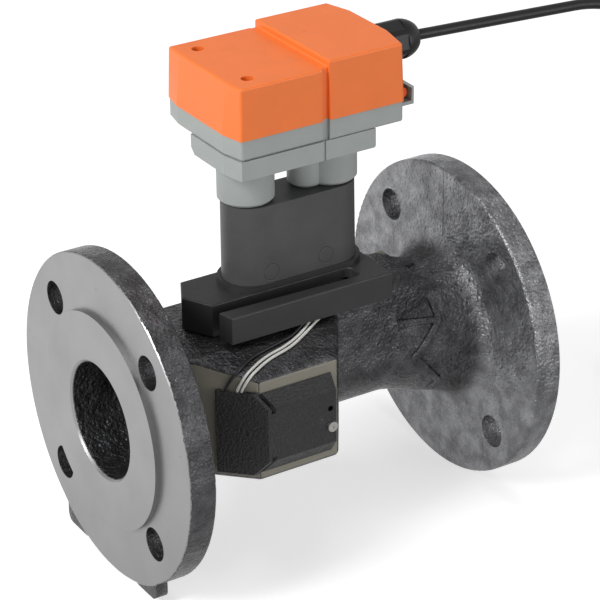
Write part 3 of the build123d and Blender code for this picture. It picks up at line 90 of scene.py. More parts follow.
def colour_property(name, hex_colour, description):
    """A colour setting whose default is an sRGB hex value."""
    return FloatVectorProperty(
        name=name,
        description=description,
        subtype="COLOR",
        size=4,
        min=0.0,
        max=1.0,
        default=linear(hex_colour),
    )


class FlowSensorColours(bpy.types.PropertyGroup):
    """Colours of the sensor's finishes."""

    paint: colour_property("Paint", "565658", "Black primer on the casting")
    iron: colour_property("Machined iron", "9C9C9C", "Bare grey iron where the flanges are turned")
    cover: colour_property("Transducer cover", "232325", "Black polyamide of the transducer covers")
    base: colour_property("Sensor base", "303031", "Dark polyamide of the sensor base")
    pillar: colour_property("Pillar", "4C4C4C", "Dark grey polyamide of the pillar")
    housing: colour_property("Housing base", "9CA19F", "Cool grey polycarbonate blend")
    lid: colour_property("Housing cover", "EF7630", "Orange polycarbonate blend")
    button: colour_property("Button", "E85A14", "Orange acetal of the button")
    gland: colour_property("Gland", "1A1A1C", "Black polyamide of the cable gland")
    jacket: colour_property("Cable jacket", "1D1D1F", "Black PVC of the cable")


class FlowSensorSizes(bpy.types.PropertyGroup):
    """Sizes of the pieces that are made here."""

    cable_diameter: FloatProperty(
        name="Cable diameter",
        description="Outside diameter of the cable's jacket",
        default=6 * MM,
        min=3 * MM,
        max=12 * MM,
        unit="LENGTH",
    )
    cable_length: FloatProperty(
        name="Cable length",
        description="Length of the cable from the gland to its bare end",
        default=1.0,
        min=0.5,
        max=2.0,
        unit="LENGTH",
    )


# Node materials

# Most of a noise texture's values lie in these ranges, for a coarse pattern and for a fine one
NOISE_RANGE = {"From Min": 0.3, "From Max": 0.7}
FINE_NOISE_RANGE = {"From Min": 0.35, "From Max": 0.65}
# Size of the faint clouds in a moulding's colour, in mm
CLOUD_SIZE = 14


def per_mm(size):
    """Texture scale whose features are about size millimetres across, on coordinates in metres."""
    return 1 / (size * MM)


def add(tree, kind, inputs=None, **settings):
    """Adds a node with its settings, and links or sets its inputs."""
    made = tree.nodes.new(kind)
    for name, value in settings.items():
        setattr(made, name, value)
    for name, value in (inputs or {}).items():
        if isinstance(value, bpy.types.NodeSocket):
            tree.links.new(value, made.inputs[name])
        else:
            made.inputs[name].default_value = value
    return made


def new_material(name):
    """An empty node material with its output and the object coordinates."""
    material = bpy.data.materials.new(name)
    material.use_nodes = True
    tree = material.node_tree
    tree.nodes.clear()
    place = add(tree, "ShaderNodeTexCoord").outputs["Object"]
    return material, tree, place


def close(tree, shader):
    """Links the shader to the material's output."""
    add(tree, "ShaderNodeOutputMaterial", {"Surface": shader.outputs[0]})


def dress(material, *names):
    """Gives CAD nodes this material in every slot they have."""
    for name in names:
        slots = nodes[name].data.materials
        for index in range(len(slots)):
            slots[index] = material
        if not slots:
            slots.append(material)


def moulded(name, colour, grain, depth, rough, mottle=0.06, marks=(), mark_depth=0.0):
    """A moulded plastic or rubber: a fine texture of that grain and depth in mm, and slight mottling.
    rough is its lowest and highest roughness. marks are height sockets from 0 to 1, drawn mark_depth deep."""
    material, tree, place = new_material(name)
    cloud = add(tree, "ShaderNodeTexNoise", {"Vector": place, "Scale": per_mm(CLOUD_SIZE), "Detail": 4.0})
    texture = add(tree, "ShaderNodeTexNoise", {"Vector": place, "Scale": per_mm(grain), "Detail": 3.0})
    shade = add(tree, "ShaderNodeMapRange", {"Value": cloud.outputs["Fac"], **NOISE_RANGE,
                                             "To Min": 1 - mottle, "To Max": 1 + mottle})
    tint = add(tree, "ShaderNodeVectorMath", {0: colour[:3], "Scale": shade.outputs[0]}, operation="SCALE")
    gloss = add(tree, "ShaderNodeMapRange", {"Value": texture.outputs["Fac"], **FINE_NOISE_RANGE,
                                             "To Min": rough[0], "To Max": rough[1]})
    bump = add(tree, "ShaderNodeBump", {"Height": texture.outputs["Fac"], "Distance": depth * MM})
    for mark in marks:
        height = mark(tree, place)
        bump = add(tree, "ShaderNodeBump", {"Height": height, "Distance": mark_depth * MM,
                                            "Normal": bump.outputs[0]})
    skin = add(tree, "ShaderNodeBsdfPrincipled", {"Base Color": tint.outputs[0],
                                                  "Roughness": gloss.outputs[0], "Normal": bump.outputs[0]})
    close(tree, skin)
    return material


def ring_mark(centre, radius, width):
    """A round mark in a moulding, all in mm: 1 outside it, 0 along its line. A radius of 0 is a dimple."""
    def height(tree, place):
        reach = add(tree, "ShaderNodeVectorMath", {0: place, 1: [value * MM for value in centre]},
                    operation="DISTANCE")
        off = add(tree, "ShaderNodeMath", {0: reach.outputs["Value"], 1: radius * MM}, operation="SUBTRACT")
        off = add(tree, "ShaderNodeMath", {0: off.outputs[0]}, operation="ABSOLUTE")
        rise = add(tree, "ShaderNodeMapRange", {"Value": off.outputs[0], "From Min": 0.0,
                                                "From Max": width * MM}, interpolation_type="SMOOTHSTEP")
        return rise.outputs[0]
    return height


def metal(name, colour, rough, grain, depth):
    """A bare metal with fine tool marks of that grain and depth in mm."""
    material, tree, place = new_material(name)
    marks = add(tree, "ShaderNodeTexNoise", {"Vector": place, "Scale": per_mm(grain), "Detail": 3.0})
    gloss = add(tree, "ShaderNodeMapRange", {"Value": marks.outputs["Fac"], **NOISE_RANGE,
                                             "To Min": rough[0], "To Max": rough[1]})
    bump = add(tree, "ShaderNodeBump", {"Height": marks.outputs["Fac"], "Distance": depth * MM})
    skin = add(tree, "ShaderNodeBsdfPrincipled", {"Base Color": colour, "Metallic": 1.0,
                                                  "Roughness": gloss.outputs[0], "Normal": bump.outputs[0]})
    close(tree, skin)
    return material


# Casting

# The sand mould's texture, in mm, and each part's share in the relief
SAND_GRAIN = 2.2
SAND_LUMP = 9
SAND_GRIT = 1.6
CAST_RELIEF = 1.3
GRAIN_SHARE = 0.8
GRIT_SHARE = 0.4
SEAM_SHARE = 0.7
SEAM_CREST = 0.2
SEAM_FOOT = 0.9
# The turned faces, in mm: their rings, how far in the cut reaches, and the flat ring that it covers
TURNING_PITCH = 0.8
TURNING_RELIEF = 0.004
TURNING_SWEEP = 30
TURNING_REACH = 4.6
TURNING_RAGGED = 1.1
TURNED_RADIUS = 62.7
TURNED_HALF_WIDTH = 29.8
# The milled pads and oblique walls of the lobes, in mm from the pipe's axis and the lobes' middle
LOBES_MIDDLE = 110.5
PAD_DISTANCE = 57.8
PAD_HALF_LENGTH = 50
SLANT_DISTANCE = 103.3
SLANT_HALF_LENGTH = 90
MILLED_RELIEF = 0.2
# Painted sheen: the outlet flange is drawn brighter for the light it reflects; the change runs between these
# places along the pipe, in mm
PAINTED_SHEEN_FROM = 216
PAINTED_SHEEN_TO = 221
PAINTED_SHEEN_GAIN = 2.6


def sand_texture(tree, place):
    """The grain and lumps of the sand mould, and the relief that they make with finer grit."""
    grain = add(tree, "ShaderNodeTexNoise", {"Vector": place, "Scale": per_mm(SAND_GRAIN), "Detail": 3.0,
                                             "Roughness": 0.65}).outputs["Fac"]
    lumps = add(tree, "ShaderNodeTexNoise", {"Vector": place, "Scale": per_mm(SAND_LUMP),
                                             "Detail": 2.0}).outputs["Fac"]
    grit = add(tree, "ShaderNodeTexVoronoi", {"Vector": place, "Scale": per_mm(SAND_GRIT)},
               feature="SMOOTH_F1")
    coarse = add(tree, "ShaderNodeMath", {0: grain, 1: GRAIN_SHARE, 2: lumps}, operation="MULTIPLY_ADD")
    relief = add(tree, "ShaderNodeMath", {0: grit.outputs["Distance"], 1: GRIT_SHARE, 2: coarse.outputs[0]},
                 operation="MULTIPLY_ADD")
    return grain, lumps, relief.outputs[0]


def primed_skin(tree, colour, along, off_line, texture):
    """The cast skin under primer, which glints like dull metal, with the line where the mould parted."""
    grain, lumps, relief = texture
    seam = add(tree, "ShaderNodeMapRange", {"Value": off_line, "From Min": SEAM_CREST * MM,
                                            "From Max": SEAM_FOOT * MM, "To Min": SEAM_SHARE,
                                            "To Max": 0.0}, interpolation_type="SMOOTHSTEP")
    seamed = add(tree, "ShaderNodeMath", {0: relief, 1: seam.outputs[0]}, operation="ADD")
    bump = add(tree, "ShaderNodeBump", {"Height": seamed.outputs[0], "Distance": CAST_RELIEF * MM})
    dust = add(tree, "ShaderNodeMapRange", {"Value": lumps, "From Min": 0.35, "From Max": 0.7,
                                            "To Min": 0.7, "To Max": 1.4})
    dusted = add(tree, "ShaderNodeVectorMath", {0: colour[:3], "Scale": dust.outputs[0]}, operation="SCALE")
    gloss = add(tree, "ShaderNodeMapRange", {"Value": grain, **NOISE_RANGE, "To Min": 0.2, "To Max": 0.42})
    # Painted sheen: the primer on the outlet flange is drawn brighter, standing in for the light's reflection
    # on it
    bright = add(tree, "ShaderNodeMapRange", {"Value": along, "From Min": PAINTED_SHEEN_FROM * MM,
                                              "From Max": PAINTED_SHEEN_TO * MM, "To Min": 1.0,
                                              "To Max": PAINTED_SHEEN_GAIN})
    tint = add(tree, "ShaderNodeVectorMath", {0: dusted.outputs[0], "Scale": bright.outputs[0]},
               operation="SCALE")
    return add(tree, "ShaderNodeBsdfPrincipled", {"Base Color": tint.outputs[0], "Metallic": 0.8,
                                                  "Roughness": gloss.outputs[0], "Normal": bump.outputs[0]})


def turned_iron(tree, colour, place, radius):
    """Bare iron with turned rings round the pipe's axis, coarser than the real feed so that they show."""
    turn = add(tree, "ShaderNodeMath", {0: radius, 1: 2 * math.pi * per_mm(TURNING_PITCH)},
               operation="MULTIPLY")
    rings = add(tree, "ShaderNodeMath", {0: turn.outputs[0]}, operation="SINE")
    bump = add(tree, "ShaderNodeBump", {"Height": rings.outputs[0], "Distance": TURNING_RELIEF * MM})
    sweep = add(tree, "ShaderNodeTexNoise", {"Vector": place, "Scale": per_mm(TURNING_SWEEP), "Detail": 3.0})
    gloss = add(tree, "ShaderNodeMapRange", {"Value": sweep.outputs["Fac"], **NOISE_RANGE,
                                             "To Min": 0.34, "To Max": 0.48})
    return add(tree, "ShaderNodeBsdfPrincipled", {"Base Color": list(colour), "Metallic": 0.9,
                                                  "Roughness": gloss.outputs[0], "Normal": bump.outputs[0]})


def turned_faces(tree, along, radius, relief):
    """1 on the flanges' turned faces, whose border with the cast skin is ragged, and 0 elsewhere."""
    ragged = add(tree, "ShaderNodeMath", {0: relief, 1: -TURNING_RAGGED * MM, 2: TURNING_REACH * MM},
                 operation="MULTIPLY_ADD")
    inlet = add(tree, "ShaderNodeMath", {0: along, 1: ragged.outputs[0]}, operation="LESS_THAN")
    to_outlet = add(tree, "ShaderNodeMath", {0: cad_tube_length(), 1: along}, operation="SUBTRACT")
    outlet = add(tree, "ShaderNodeMath", {0: to_outlet.outputs[0], 1: ragged.outputs[0]},
                 operation="LESS_THAN")
    turned = add(tree, "ShaderNodeMath", {0: inlet.outputs[0], 1: outlet.outputs[0]}, operation="MAXIMUM")
    # The feet outside the flange and the passage inside it stay cast
    face = add(tree, "ShaderNodeMath", {0: radius, 1: TURNED_RADIUS * MM, 2: TURNED_HALF_WIDTH * MM},
               operation="COMPARE")
    cut = add(tree, "ShaderNodeMath", {0: turned.outputs[0], 1: face.outputs[0]}, operation="MULTIPLY")
    return cut.outputs[0]


def milled_pads(tree, along, across, off_line):
    """1 on the pads and oblique walls that the covers stand on, and 0 elsewhere."""
    pad = add(tree, "ShaderNodeMath", {0: off_line, 1: PAD_DISTANCE * MM}, operation="GREATER_THAN")
    between = add(tree, "ShaderNodeMath", {0: along, 1: LOBES_MIDDLE * MM, 2: PAD_HALF_LENGTH * MM},
                  operation="COMPARE")
    pad = add(tree, "ShaderNodeMath", {0: pad.outputs[0], 1: between.outputs[0]}, operation="MULTIPLY")
    slant = add(tree, "ShaderNodeMath", {0: along, 1: across}, operation="ADD")
    slant = add(tree, "ShaderNodeMath", {0: slant.outputs[0], 1: LOBES_MIDDLE * MM}, operation="SUBTRACT")
    slant = add(tree, "ShaderNodeMath", {0: slant.outputs[0]}, operation="ABSOLUTE")
    oblique = add(tree, "ShaderNodeMath", {0: slant.outputs[0], 1: SLANT_DISTANCE * MM},
                  operation="GREATER_THAN")
    near_lobe = add(tree, "ShaderNodeMath", {0: along, 1: LOBES_MIDDLE * MM, 2: SLANT_HALF_LENGTH * MM},
                    operation="COMPARE")
    oblique = add(tree, "ShaderNodeMath", {0: oblique.outputs[0], 1: near_lobe.outputs[0]},
                  operation="MULTIPLY")
    milled = add(tree, "ShaderNodeMath", {0: pad.outputs[0], 1: oblique.outputs[0]}, operation="MAXIMUM")
    return milled.outputs[0]


def painted_iron(colours):
    """Grey iron cast in sand under thin primer. The sand's grain, drawn coarser than it is, shows as speckle.
    The turned flange faces are bare, and the milled pads have a thin dusty film of paint."""
    material, tree, place = new_material("sand_cast_iron_black_primer")
    split = add(tree, "ShaderNodeSeparateXYZ", {"Vector": place})
    along, across = split.outputs["X"], split.outputs["Y"]
    off_line = add(tree, "ShaderNodeMath", {0: across}, operation="ABSOLUTE").outputs[0]
    round_axis = add(tree, "ShaderNodeCombineXYZ", {"Y": across, "Z": split.outputs["Z"]})
    radius = add(tree, "ShaderNodeVectorMath", {0: round_axis.outputs[0]},
                 operation="LENGTH").outputs["Value"]
    grain, lumps, relief = sand_texture(tree, place)
    primed = primed_skin(tree, colours.paint, along, off_line, (grain, lumps, relief))
    bare = turned_iron(tree, colours.iron, place, radius)
    mill_bump = add(tree, "ShaderNodeBump", {"Height": grain, "Distance": MILLED_RELIEF * MM})
    dusty = add(tree, "ShaderNodeBsdfPrincipled", {"Base Color": linear("827E73"), "Roughness": 0.55,
                                                   "Normal": mill_bump.outputs[0]})
    skin = add(tree, "ShaderNodeMixShader", {"Fac": milled_pads(tree, along, across, off_line),
                                             1: primed.outputs[0], 2: dusty.outputs[0]})
    close(tree, add(tree, "ShaderNodeMixShader", {"Fac": turned_faces(tree, along, radius, relief),
                                                  1: skin.outputs[0], 2: bare.outputs[0]}))
    return material


def cad_tube_length():
    """The tube's length between its two end faces, in metres."""
    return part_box("measuring_tube")[1].x


class FLOWSENSOR_OT_casting(bpy.types.Operator):
    """Dress the cast measuring tube"""

    bl_idname = "flowsensor.casting"
    bl_label = "Measuring tube"

    def execute(self, context):
        iron = painted_iron(context.scene.flow_sensor_colours)
        dress(iron, "measuring_tube")
        return {"FINISHED"}


class FLOWSENSOR_OT_covers(bpy.types.Operator):
    """Dress the transducer covers, their gaskets and screws, and the transducers behind them"""

    bl_idname = "flowsensor.covers"
    bl_label = "Transducer covers"

    def execute(self, context):
        colours = context.scene.flow_sensor_colours
        # Polyamide moulded in a spark-eroded tool: black and matt, its texture drawn coarse so that it shows
        cover = moulded("polyamide_spark_texture", colours.cover, 1.3, 0.9, (0.3, 0.5))
        dress(cover, "transducer_cover_front", "transducer_cover_back")
        # Foamed neoprene gasket: black and dull. Its black is partly painted shade: the dark line round the
        # cover is the shade in the gap there
        foam = moulded("neoprene_foam_gasket", linear("101011"), 0.5, 0.05, (0.8, 0.95), mottle=0.1)
        dress(foam, "cover_gasket_front", "cover_gasket_back")
        # Stainless steel screws, turned and tumbled: bright with soft marks
        steel = metal("stainless_steel_tumbled", linear("D8D6D2"), (0.2, 0.34), 0.4, 0.01)
        dress(steel, "cover_screws")
        # Glass-filled PPS transducer bodies: dark brown-grey, dull
        pps = moulded("pps_transducer_body", linear("34302C"), 0.5, 0.04, (0.5, 0.7))
        dress(pps, "transducer_front", "transducer_back")
        # EPDM ring: black and dull
        ring = moulded("epdm_seal_ring", linear("18181A"), 0.8, 0.02, (0.6, 0.8))
        dress(ring, "transducer_seals")
        # Drawn stainless probe: satin, drawn along its length
        probe = metal("stainless_steel_drawn", linear("C9C8C5"), (0.22, 0.3), 0.25, 0.004)
        dress(probe, "temperature_sensor")
        return {"FINISHED"}


# Where two ejector pins left rings on the pillar, and where the orange cover's gate was cut off, in mm
EJECTOR_PINS = [(99.5, -16, 68), (133.8, -16, 69)]
EJECTOR_RADIUS = 4.6
EJECTOR_LINE = 0.5
EJECTOR_DEPTH = 0.25
GATE = (135.6, 5.5, 190.3)
GATE_WIDTH = 1.6
GATE_DEPTH = 0.5


class FLOWSENSOR_OT_base(bpy.types.Operator):
    """Dress the sensor base, the pillar and their gaskets and screws"""

    bl_idname = "flowsensor.base"
    bl_label = "Sensor base and pillar"

    def execute(self, context):
        colours = context.scene.flow_sensor_colours
        # Glass-filled polyamide, moulded in a lightly eroded tool: dark, satin on its faces
        base = moulded("glass_filled_polyamide_base", colours.base, 0.7, 0.05, (0.42, 0.56), mottle=0.08)
        dress(base, "sensor_base")
        # The same polyamide in dark grey, smoother, with faint flow clouds and the ejector pins' rings
        pins = [ring_mark(pin, EJECTOR_RADIUS, EJECTOR_LINE) for pin in EJECTOR_PINS]
        pillar = moulded("glass_filled_polyamide_pillar", colours.pillar, 1.1, 0.03, (0.44, 0.54), mottle=0.1,
                         marks=pins, mark_depth=EJECTOR_DEPTH)
        dress(pillar, "neck_pillar")
        # Nitrile gaskets: black and dull
        nitrile = moulded("nitrile_gasket", linear("1A1A1B"), 0.8, 0.03, (0.65, 0.8))
        dress(nitrile, "base_gasket", "pillar_gasket")
        # Zinc-plated screws: bright with a soft grain
        zinc = metal("zinc_plated_steel", linear("C6C7CA"), (0.25, 0.38), 0.5, 0.01)
        dress(zinc, "base_screws", "pillar_screws", "neck_screws", "housing_screws")
        return {"FINISHED"}


class FLOWSENSOR_OT_housing(bpy.types.Operator):
    """Dress the housing base, its cover, seal and button"""

    bl_idname = "flowsensor.housing"
    bl_label = "Housing"

    def execute(self, context):
        colours = context.scene.flow_sensor_colours
        # Polycarbonate blend, cool grey, moulded in a finely eroded tool: even and matt
        grey = moulded("polycarbonate_blend_grey", colours.housing, 0.5, 0.02, (0.46, 0.56), mottle=0.03)
        dress(grey, "housing_base")
        # The same blend in orange, a little glossier, with the dimple where the gate was cut off
        gate = ring_mark(GATE, 0, GATE_WIDTH)
        orange = moulded("polycarbonate_blend_orange", colours.lid, 0.6, 0.015, (0.36, 0.46), mottle=0.03,
                         marks=[gate], mark_depth=GATE_DEPTH)
        dress(orange, "housing_cover")
        # Acetal button: orange, waxy sheen
        button = moulded("acetal_button", colours.button, 0.5, 0.01, (0.3, 0.4), mottle=0.04)
        dress(button, "push_button")
        # Silicone housing seal: dark and dull
        seal = moulded("silicone_housing_seal", linear("202022"), 0.8, 0.02, (0.6, 0.8))
        dress(seal, "housing_seal")
        return {"FINISHED"}


class FLOWSENSOR_OT_electronics(bpy.types.Operator):
    """Dress the circuit board and the parts on it"""

    bl_idname = "flowsensor.electronics"
    bl_label = "Electronics"

    def execute(self, context):
        # Glass-epoxy laminate under green solder mask: faint weave of 0.5 mm
        board = moulded("glass_epoxy_solder_mask", linear("1F6B3A"), 0.5, 0.02, (0.3, 0.42), mottle=0.1)
        dress(board, "circuit_board")
        # Epoxy chip bodies: black, matt
        chips = moulded("epoxy_chip_body", linear("1C1C1E"), 0.3, 0.01, (0.55, 0.7))
        dress(chips, "board_chips", "button_switch")
        # Drawn aluminium cans: bright, slightly soft
        cans = metal("drawn_aluminium_can", linear("D5D5D8"), (0.25, 0.35), 0.4, 0.004)
        dress(cans, "board_capacitors")
        # Nylon connector and terminal: ivory, waxy
        nylon = moulded("nylon_connector", linear("DEDACB"), 0.5, 0.01, (0.4, 0.5), mottle=0.03)
        dress(nylon, "wire_connector", "cable_terminal")
        return {"FINISHED"}


class FLOWSENSOR_OT_gland(bpy.types.Operator):
    """Dress the cable gland"""

    bl_idname = "flowsensor.gland"
    bl_label = "Cable gland"

    def execute(self, context):
        colours = context.scene.flow_sensor_colours
        # Black polyamide, moulded smooth: soft gloss on the edges of its flats
        gland = moulded("polyamide_gland", colours.gland, 0.6, 0.02, (0.36, 0.48), mottle=0.06)
        dress(gland, "gland_body", "gland_nut", "gland_locknut")
        # Neoprene gland seal: black, dull
        seal = moulded("neoprene_gland_seal", linear("161617"), 0.8, 0.02, (0.6, 0.75))
        dress(seal, "gland_seal")
        return {"FINISHED"}


# Cable

# The cable's route from the gland to the coil, in mm
ROUTE = [
    (200.3, 0, 176.1), (239, 0, 174.3), (289.5, 0, 171.8), (330, 0, 169.8), (366, -6, 152), (378, -18, 112),
    (374, -30, 66), (362, -40, 18), (351, -46, -26), (346, -48, -60), (354, -48, -77), (372, -47.6, -84.6),
]
COIL_CENTRE = (398, -14)
COIL_TOP = -84.4
COIL_OVER = -83.2
COIL_FLOOR = -89.5
COIL_INNER = 30.0
COIL_MIDDLE = 33.45
COIL_OUTER = 36.9
# Angle in degrees, radius and height at each change of the coil
COIL_STATIONS = [
    (270, COIL_MIDDLE, COIL_TOP), (410, COIL_MIDDLE, COIL_TOP), (430, COIL_MIDDLE, COIL_OVER),
    (490, COIL_MIDDLE, COIL_OVER), (560, COIL_INNER, COIL_FLOOR), (780, COIL_INNER, COIL_FLOOR),
    (850, COIL_OUTER, COIL_FLOOR), (1140, COIL_OUTER, COIL_FLOOR),
]
COIL_POINTS = 18
TAIL = [(402.6, 23.6, -89.5), (389.7, 28.9, -89.5)]


def coil_points():
    """Control points of the coil's turns, which a loop sets round its centre, in mm."""
    step = 360 / COIL_POINTS
    # A spline of second degree runs inside its points by this share of the radius
    inside = (6 + 2 * math.cos(math.radians(step))) / 8
    points = []
    count = round((COIL_STATIONS[-1][0] - COIL_STATIONS[0][0]) / step)
    for index in range(count + 1):
        angle = COIL_STATIONS[0][0] + index * step
        for (start, r0, z0), (end, r1, z1) in zip(COIL_STATIONS, COIL_STATIONS[1:]):
            if angle <= end:
                break
        share = min(1.0, max(0.0, (angle - start) / (end - start)))
        share = share * share * (3 - 2 * share)
        radius = (r0 + (r1 - r0) * share) / inside
        turn = math.radians(angle)
        points.append((
            COIL_CENTRE[0] + radius * math.cos(turn),
            COIL_CENTRE[1] + radius * math.sin(turn),
            z0 + (z1 - z0) * share,
        ))
    return points


class FLOWSENSOR_OT_cable(bpy.types.Operator):
    """Lay the cable from the gland to its coil, with its bare cores"""

    bl_idname = "flowsensor.cable"
    bl_label = "Cable"

    def execute(self, context):
        sizes = context.scene.flow_sensor_sizes
        colours = context.scene.flow_sensor_colours
        # Extruded PVC jacket: black, soft satin
        jacket = moulded("pvc_cable_jacket", colours.jacket, 0.9, 0.015, (0.38, 0.5), mottle=0.08)
        points = ROUTE + coil_points() + TAIL
        curve = bpy.data.curves.new("cable_line", "CURVE")
        curve.dimensions = "3D"
        spline = curve.splines.new("NURBS")
        spline.points.add(len(points) - 1)
        for point, place in zip(spline.points, points):
            point.co = (place[0] * MM, place[1] * MM, place[2] * MM, 1.0)
        spline.order_u = 3
        spline.use_endpoint_u = True
        spline.resolution_u = 8
        curve.bevel_depth = sizes.cable_diameter / 2
        curve.bevel_resolution = 6
        curve.use_fill_caps = True
        curve.materials.append(jacket)
        cable = bpy.data.objects.new("cable_run", curve)
        bpy.context.scene.collection.objects.link(cable)
        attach(cable, BODY)
        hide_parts("cable", "cable_coil")
        # PVC core insulation: pale grey, smooth
        cores = moulded("pvc_core_insulation", linear("B9B9B6"), 0.6, 0.01, (0.4, 0.5), mottle=0.05)
        dress(cores, "cable_cores")
        return {"FINISHED"}


class FLOWSENSOR_OT_wires(bpy.types.Operator):
    """Dress the signal wires between the base and the covers"""

    bl_idname = "flowsensor.wires"
    bl_label = "Signal wires"

    def execute(self, context):
        # Extruded silicone insulation: white or black, softly shining
        white = moulded("silicone_wire_white", linear("D6D5D0"), 0.7, 0.01, (0.34, 0.46), mottle=0.05)
        dress(white, "signal_wire_white_upper", "signal_wire_white_lower")
        black = moulded("silicone_wire_black", linear("262628"), 0.7, 0.01, (0.34, 0.46), mottle=0.05)
        dress(black, "signal_wire_black", "signal_wire_back")
        return {"FINISHED"}


# Stage

# Each lamp's name, place, aim and size in metres, and its power in watts
LAMPS = [
    ("key_lamp", (-1.6, -0.25, 1.35), (0.1, 0, 0.05), 0.7, 34),
    ("top_lamp", (0.2, 0.1, 1.9), (0.12, 0, 0.05), 0.9, 9),
    ("fill_lamp", (0.95, -1.6, 0.3), (0.12, 0, 0.05), 0.9, 8),
]
# The floor's half width and middle in metres, and how much brighter than its light the camera sees it
FLOOR_HALF_WIDTH = 6.0
FLOOR_MIDDLE = 0.1
FLOOR_LIFT = 0.6
# The camera that the flanges' ellipses in the photograph give: pixels, degrees, and its place in mm
SENSOR_WIDTH = 36.0
FOCAL_PIXELS = 2542.96
PHOTO_PIXELS = 600
CAMERA_AZIMUTH = -31.674
CAMERA_ELEVATION = 26.828
CAMERA_ROLL = -0.792
CAMERA_PLACE = (-528.35, -1061.60, 667.92)


def paper_material():
    """White paper: a matt floor that the camera sees a little brighter than it is lit, so it stays white."""
    material, tree, place = new_material("white_paper_floor")
    path = add(tree, "ShaderNodeLightPath")
    seen = add(tree, "ShaderNodeMath", {0: path.outputs["Is Camera Ray"],
                                        1: path.outputs["Is Transmission Ray"]}, operation="MAXIMUM")
    lift = add(tree, "ShaderNodeMath", {0: seen.outputs[0], 1: FLOOR_LIFT}, operation="MULTIPLY")
    paper = add(tree, "ShaderNodeBsdfDiffuse", {"Color": linear("D0D0D0")})
    glow = add(tree, "ShaderNodeEmission", {"Color": linear("FFFFFF"), "Strength": lift.outputs[0]})
    white = add(tree, "ShaderNodeAddShader", {0: paper.outputs[0], 1: glow.outputs[0]})
    # Painted reflection: reflections see the floor glow bright behind the sensor on the left and dim in
    # front, like a table by a window
    across_light = add(tree, "ShaderNodeVectorMath", {0: place, 1: (-0.6, 0.8, 0.0)},
                       operation="DOT_PRODUCT")
    level = add(tree, "ShaderNodeMapRange", {"Value": across_light.outputs["Value"], "From Min": -0.35,
                                             "From Max": 0.15, "To Min": 0.3, "To Max": 1.15})
    painted_reflection = add(tree, "ShaderNodeEmission", {"Color": linear("FFFFFF"), "Strength": level.outputs[0]})
    close(tree, add(tree, "ShaderNodeMixShader", {"Fac": path.outputs["Is Glossy Ray"],
                                                  1: white.outputs[0], 2: painted_reflection.outputs[0]}))
    return material


def lay_floor(scene):
    """A wide flat floor at the bottom of the CAD model's box."""
    mesh = bmesh.new()
    bmesh.ops.create_grid(mesh, x_segments=1, y_segments=1, size=FLOOR_HALF_WIDTH)
    bmesh.ops.translate(mesh, verts=mesh.verts, vec=(FLOOR_MIDDLE, 0.0, cad_box[0][2]))
    data = bpy.data.meshes.new("studio_floor")
    mesh.to_mesh(data)
    mesh.free()
    data.materials.append(paper_material())
    floor = bpy.data.objects.new("studio_floor", data)
    scene.collection.objects.link(floor)


def hang_lamp(scene, name, place, aim, size, power):
    """A square lamp at place, facing aim."""
    data = bpy.data.lights.new(name, "AREA")
    data.shape = "SQUARE"
    data.size = size
    data.energy = power
    lamp = bpy.data.objects.new(name, data)
    lamp.location = place
    lamp.rotation_euler = (Vector(aim) - Vector(place)).to_track_quat("-Z", "Y").to_euler()
    scene.collection.objects.link(lamp)


def light_room(scene):
    """A pale room that darkens overhead."""
    world = bpy.data.worlds.new("studio_world")
    world.use_nodes = True
    tree = world.node_tree
    tree.nodes.clear()
    direction = add(tree, "ShaderNodeTexCoord").outputs["Generated"]
    height = add(tree, "ShaderNodeSeparateXYZ", {"Vector": direction}).outputs["Z"]
    shade = add(tree, "ShaderNodeMapRange", {"Value": height, "From Min": 0.1, "From Max": 0.7,
                                             "To Min": 0.8, "To Max": 0.2})
    lit = add(tree, "ShaderNodeBackground", {"Color": linear("FFFFFF"), "Strength": shade.outputs[0]})
    add(tree, "ShaderNodeOutputWorld", {"Surface": lit.outputs[0]})
    scene.world = world


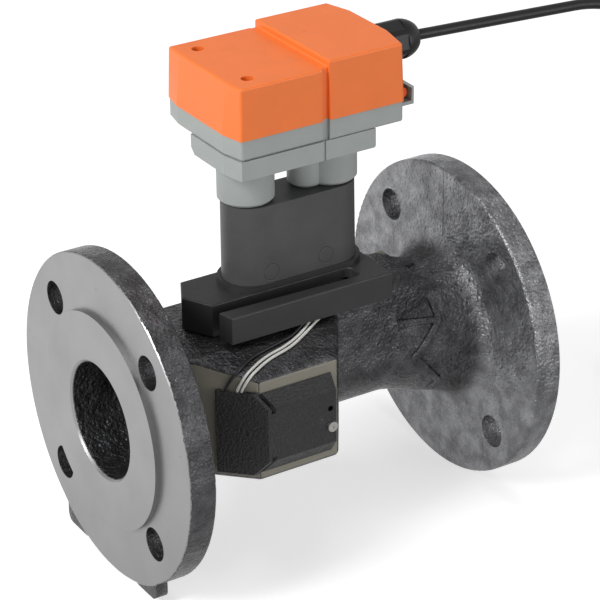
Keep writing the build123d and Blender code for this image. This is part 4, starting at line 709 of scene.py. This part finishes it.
def set_camera(scene):
    """The camera, where it stood for the photograph."""
    data = bpy.data.cameras.new("camera")
    data.sensor_width = SENSOR_WIDTH
    data.lens = SENSOR_WIDTH * FOCAL_PIXELS / PHOTO_PIXELS
    data.clip_end = 20.0
    camera = bpy.data.objects.new("camera", data)
    azimuth = math.radians(CAMERA_AZIMUTH)
    elevation = math.radians(CAMERA_ELEVATION)
    back = Vector((
        math.sin(azimuth) * math.cos(elevation),
        -math.cos(azimuth) * math.cos(elevation),
        math.sin(elevation),
    ))
    right = Vector((0, 0, 1)).cross(back).normalized()
    up = back.cross(right)
    level = Matrix((right, up, back)).transposed()
    camera.matrix_world = (
        Matrix.Translation(Vector(CAMERA_PLACE) * MM)
        @ level.to_4x4()
        @ Matrix.Rotation(math.radians(CAMERA_ROLL), 4, "Z")
    )
    scene.collection.objects.link(camera)
    scene.camera = camera


class FLOWSENSOR_OT_stage(bpy.types.Operator):
    """Set up the floor, the lights, the world and the camera"""

    bl_idname = "flowsensor.stage"
    bl_label = "Stage"

    def execute(self, context):
        scene = bpy.context.scene
        lay_floor(scene)
        for lamp in LAMPS:
            hang_lamp(scene, *lamp)
        light_room(scene)
        scene.view_settings.view_transform = "Standard"
        set_camera(scene)
        return {"FINISHED"}


OPERATORS = (
    FLOWSENSOR_OT_stage,
    FLOWSENSOR_OT_casting,
    FLOWSENSOR_OT_covers,
    FLOWSENSOR_OT_base,
    FLOWSENSOR_OT_housing,
    FLOWSENSOR_OT_electronics,
    FLOWSENSOR_OT_gland,
    FLOWSENSOR_OT_cable,
    FLOWSENSOR_OT_wires,
)


class VIEW3D_PT_flow_sensor(bpy.types.Panel):
    """Lists the sensor's pieces and settings"""

    bl_label = "Flow sensor"
    bl_space_type = "VIEW_3D"
    bl_region_type = "UI"
    bl_category = "Flow sensor"

    def draw(self, context):
        for group in (context.scene.flow_sensor_sizes, context.scene.flow_sensor_colours):
            for name in group.__annotations__:
                self.layout.prop(group, name)
        for operator in OPERATORS:
            self.layout.operator(operator.bl_idname)


CLASSES = (FlowSensorColours, FlowSensorSizes, *OPERATORS, VIEW3D_PT_flow_sensor)


def register():
    for item in CLASSES:
        bpy.utils.register_class(item)
    bpy.types.Scene.flow_sensor_colours = PointerProperty(type=FlowSensorColours)
    bpy.types.Scene.flow_sensor_sizes = PointerProperty(type=FlowSensorSizes)


def unregister():
    del bpy.types.Scene.flow_sensor_sizes
    del bpy.types.Scene.flow_sensor_colours
    for item in reversed(CLASSES):
        bpy.utils.unregister_class(item)


def main():
    """Builds the whole scene."""
    register()
    for operator in OPERATORS:
        group, name = operator.bl_idname.split(".")
        getattr(getattr(bpy.ops, group), name)()


if __name__ == "__main__":
    main()
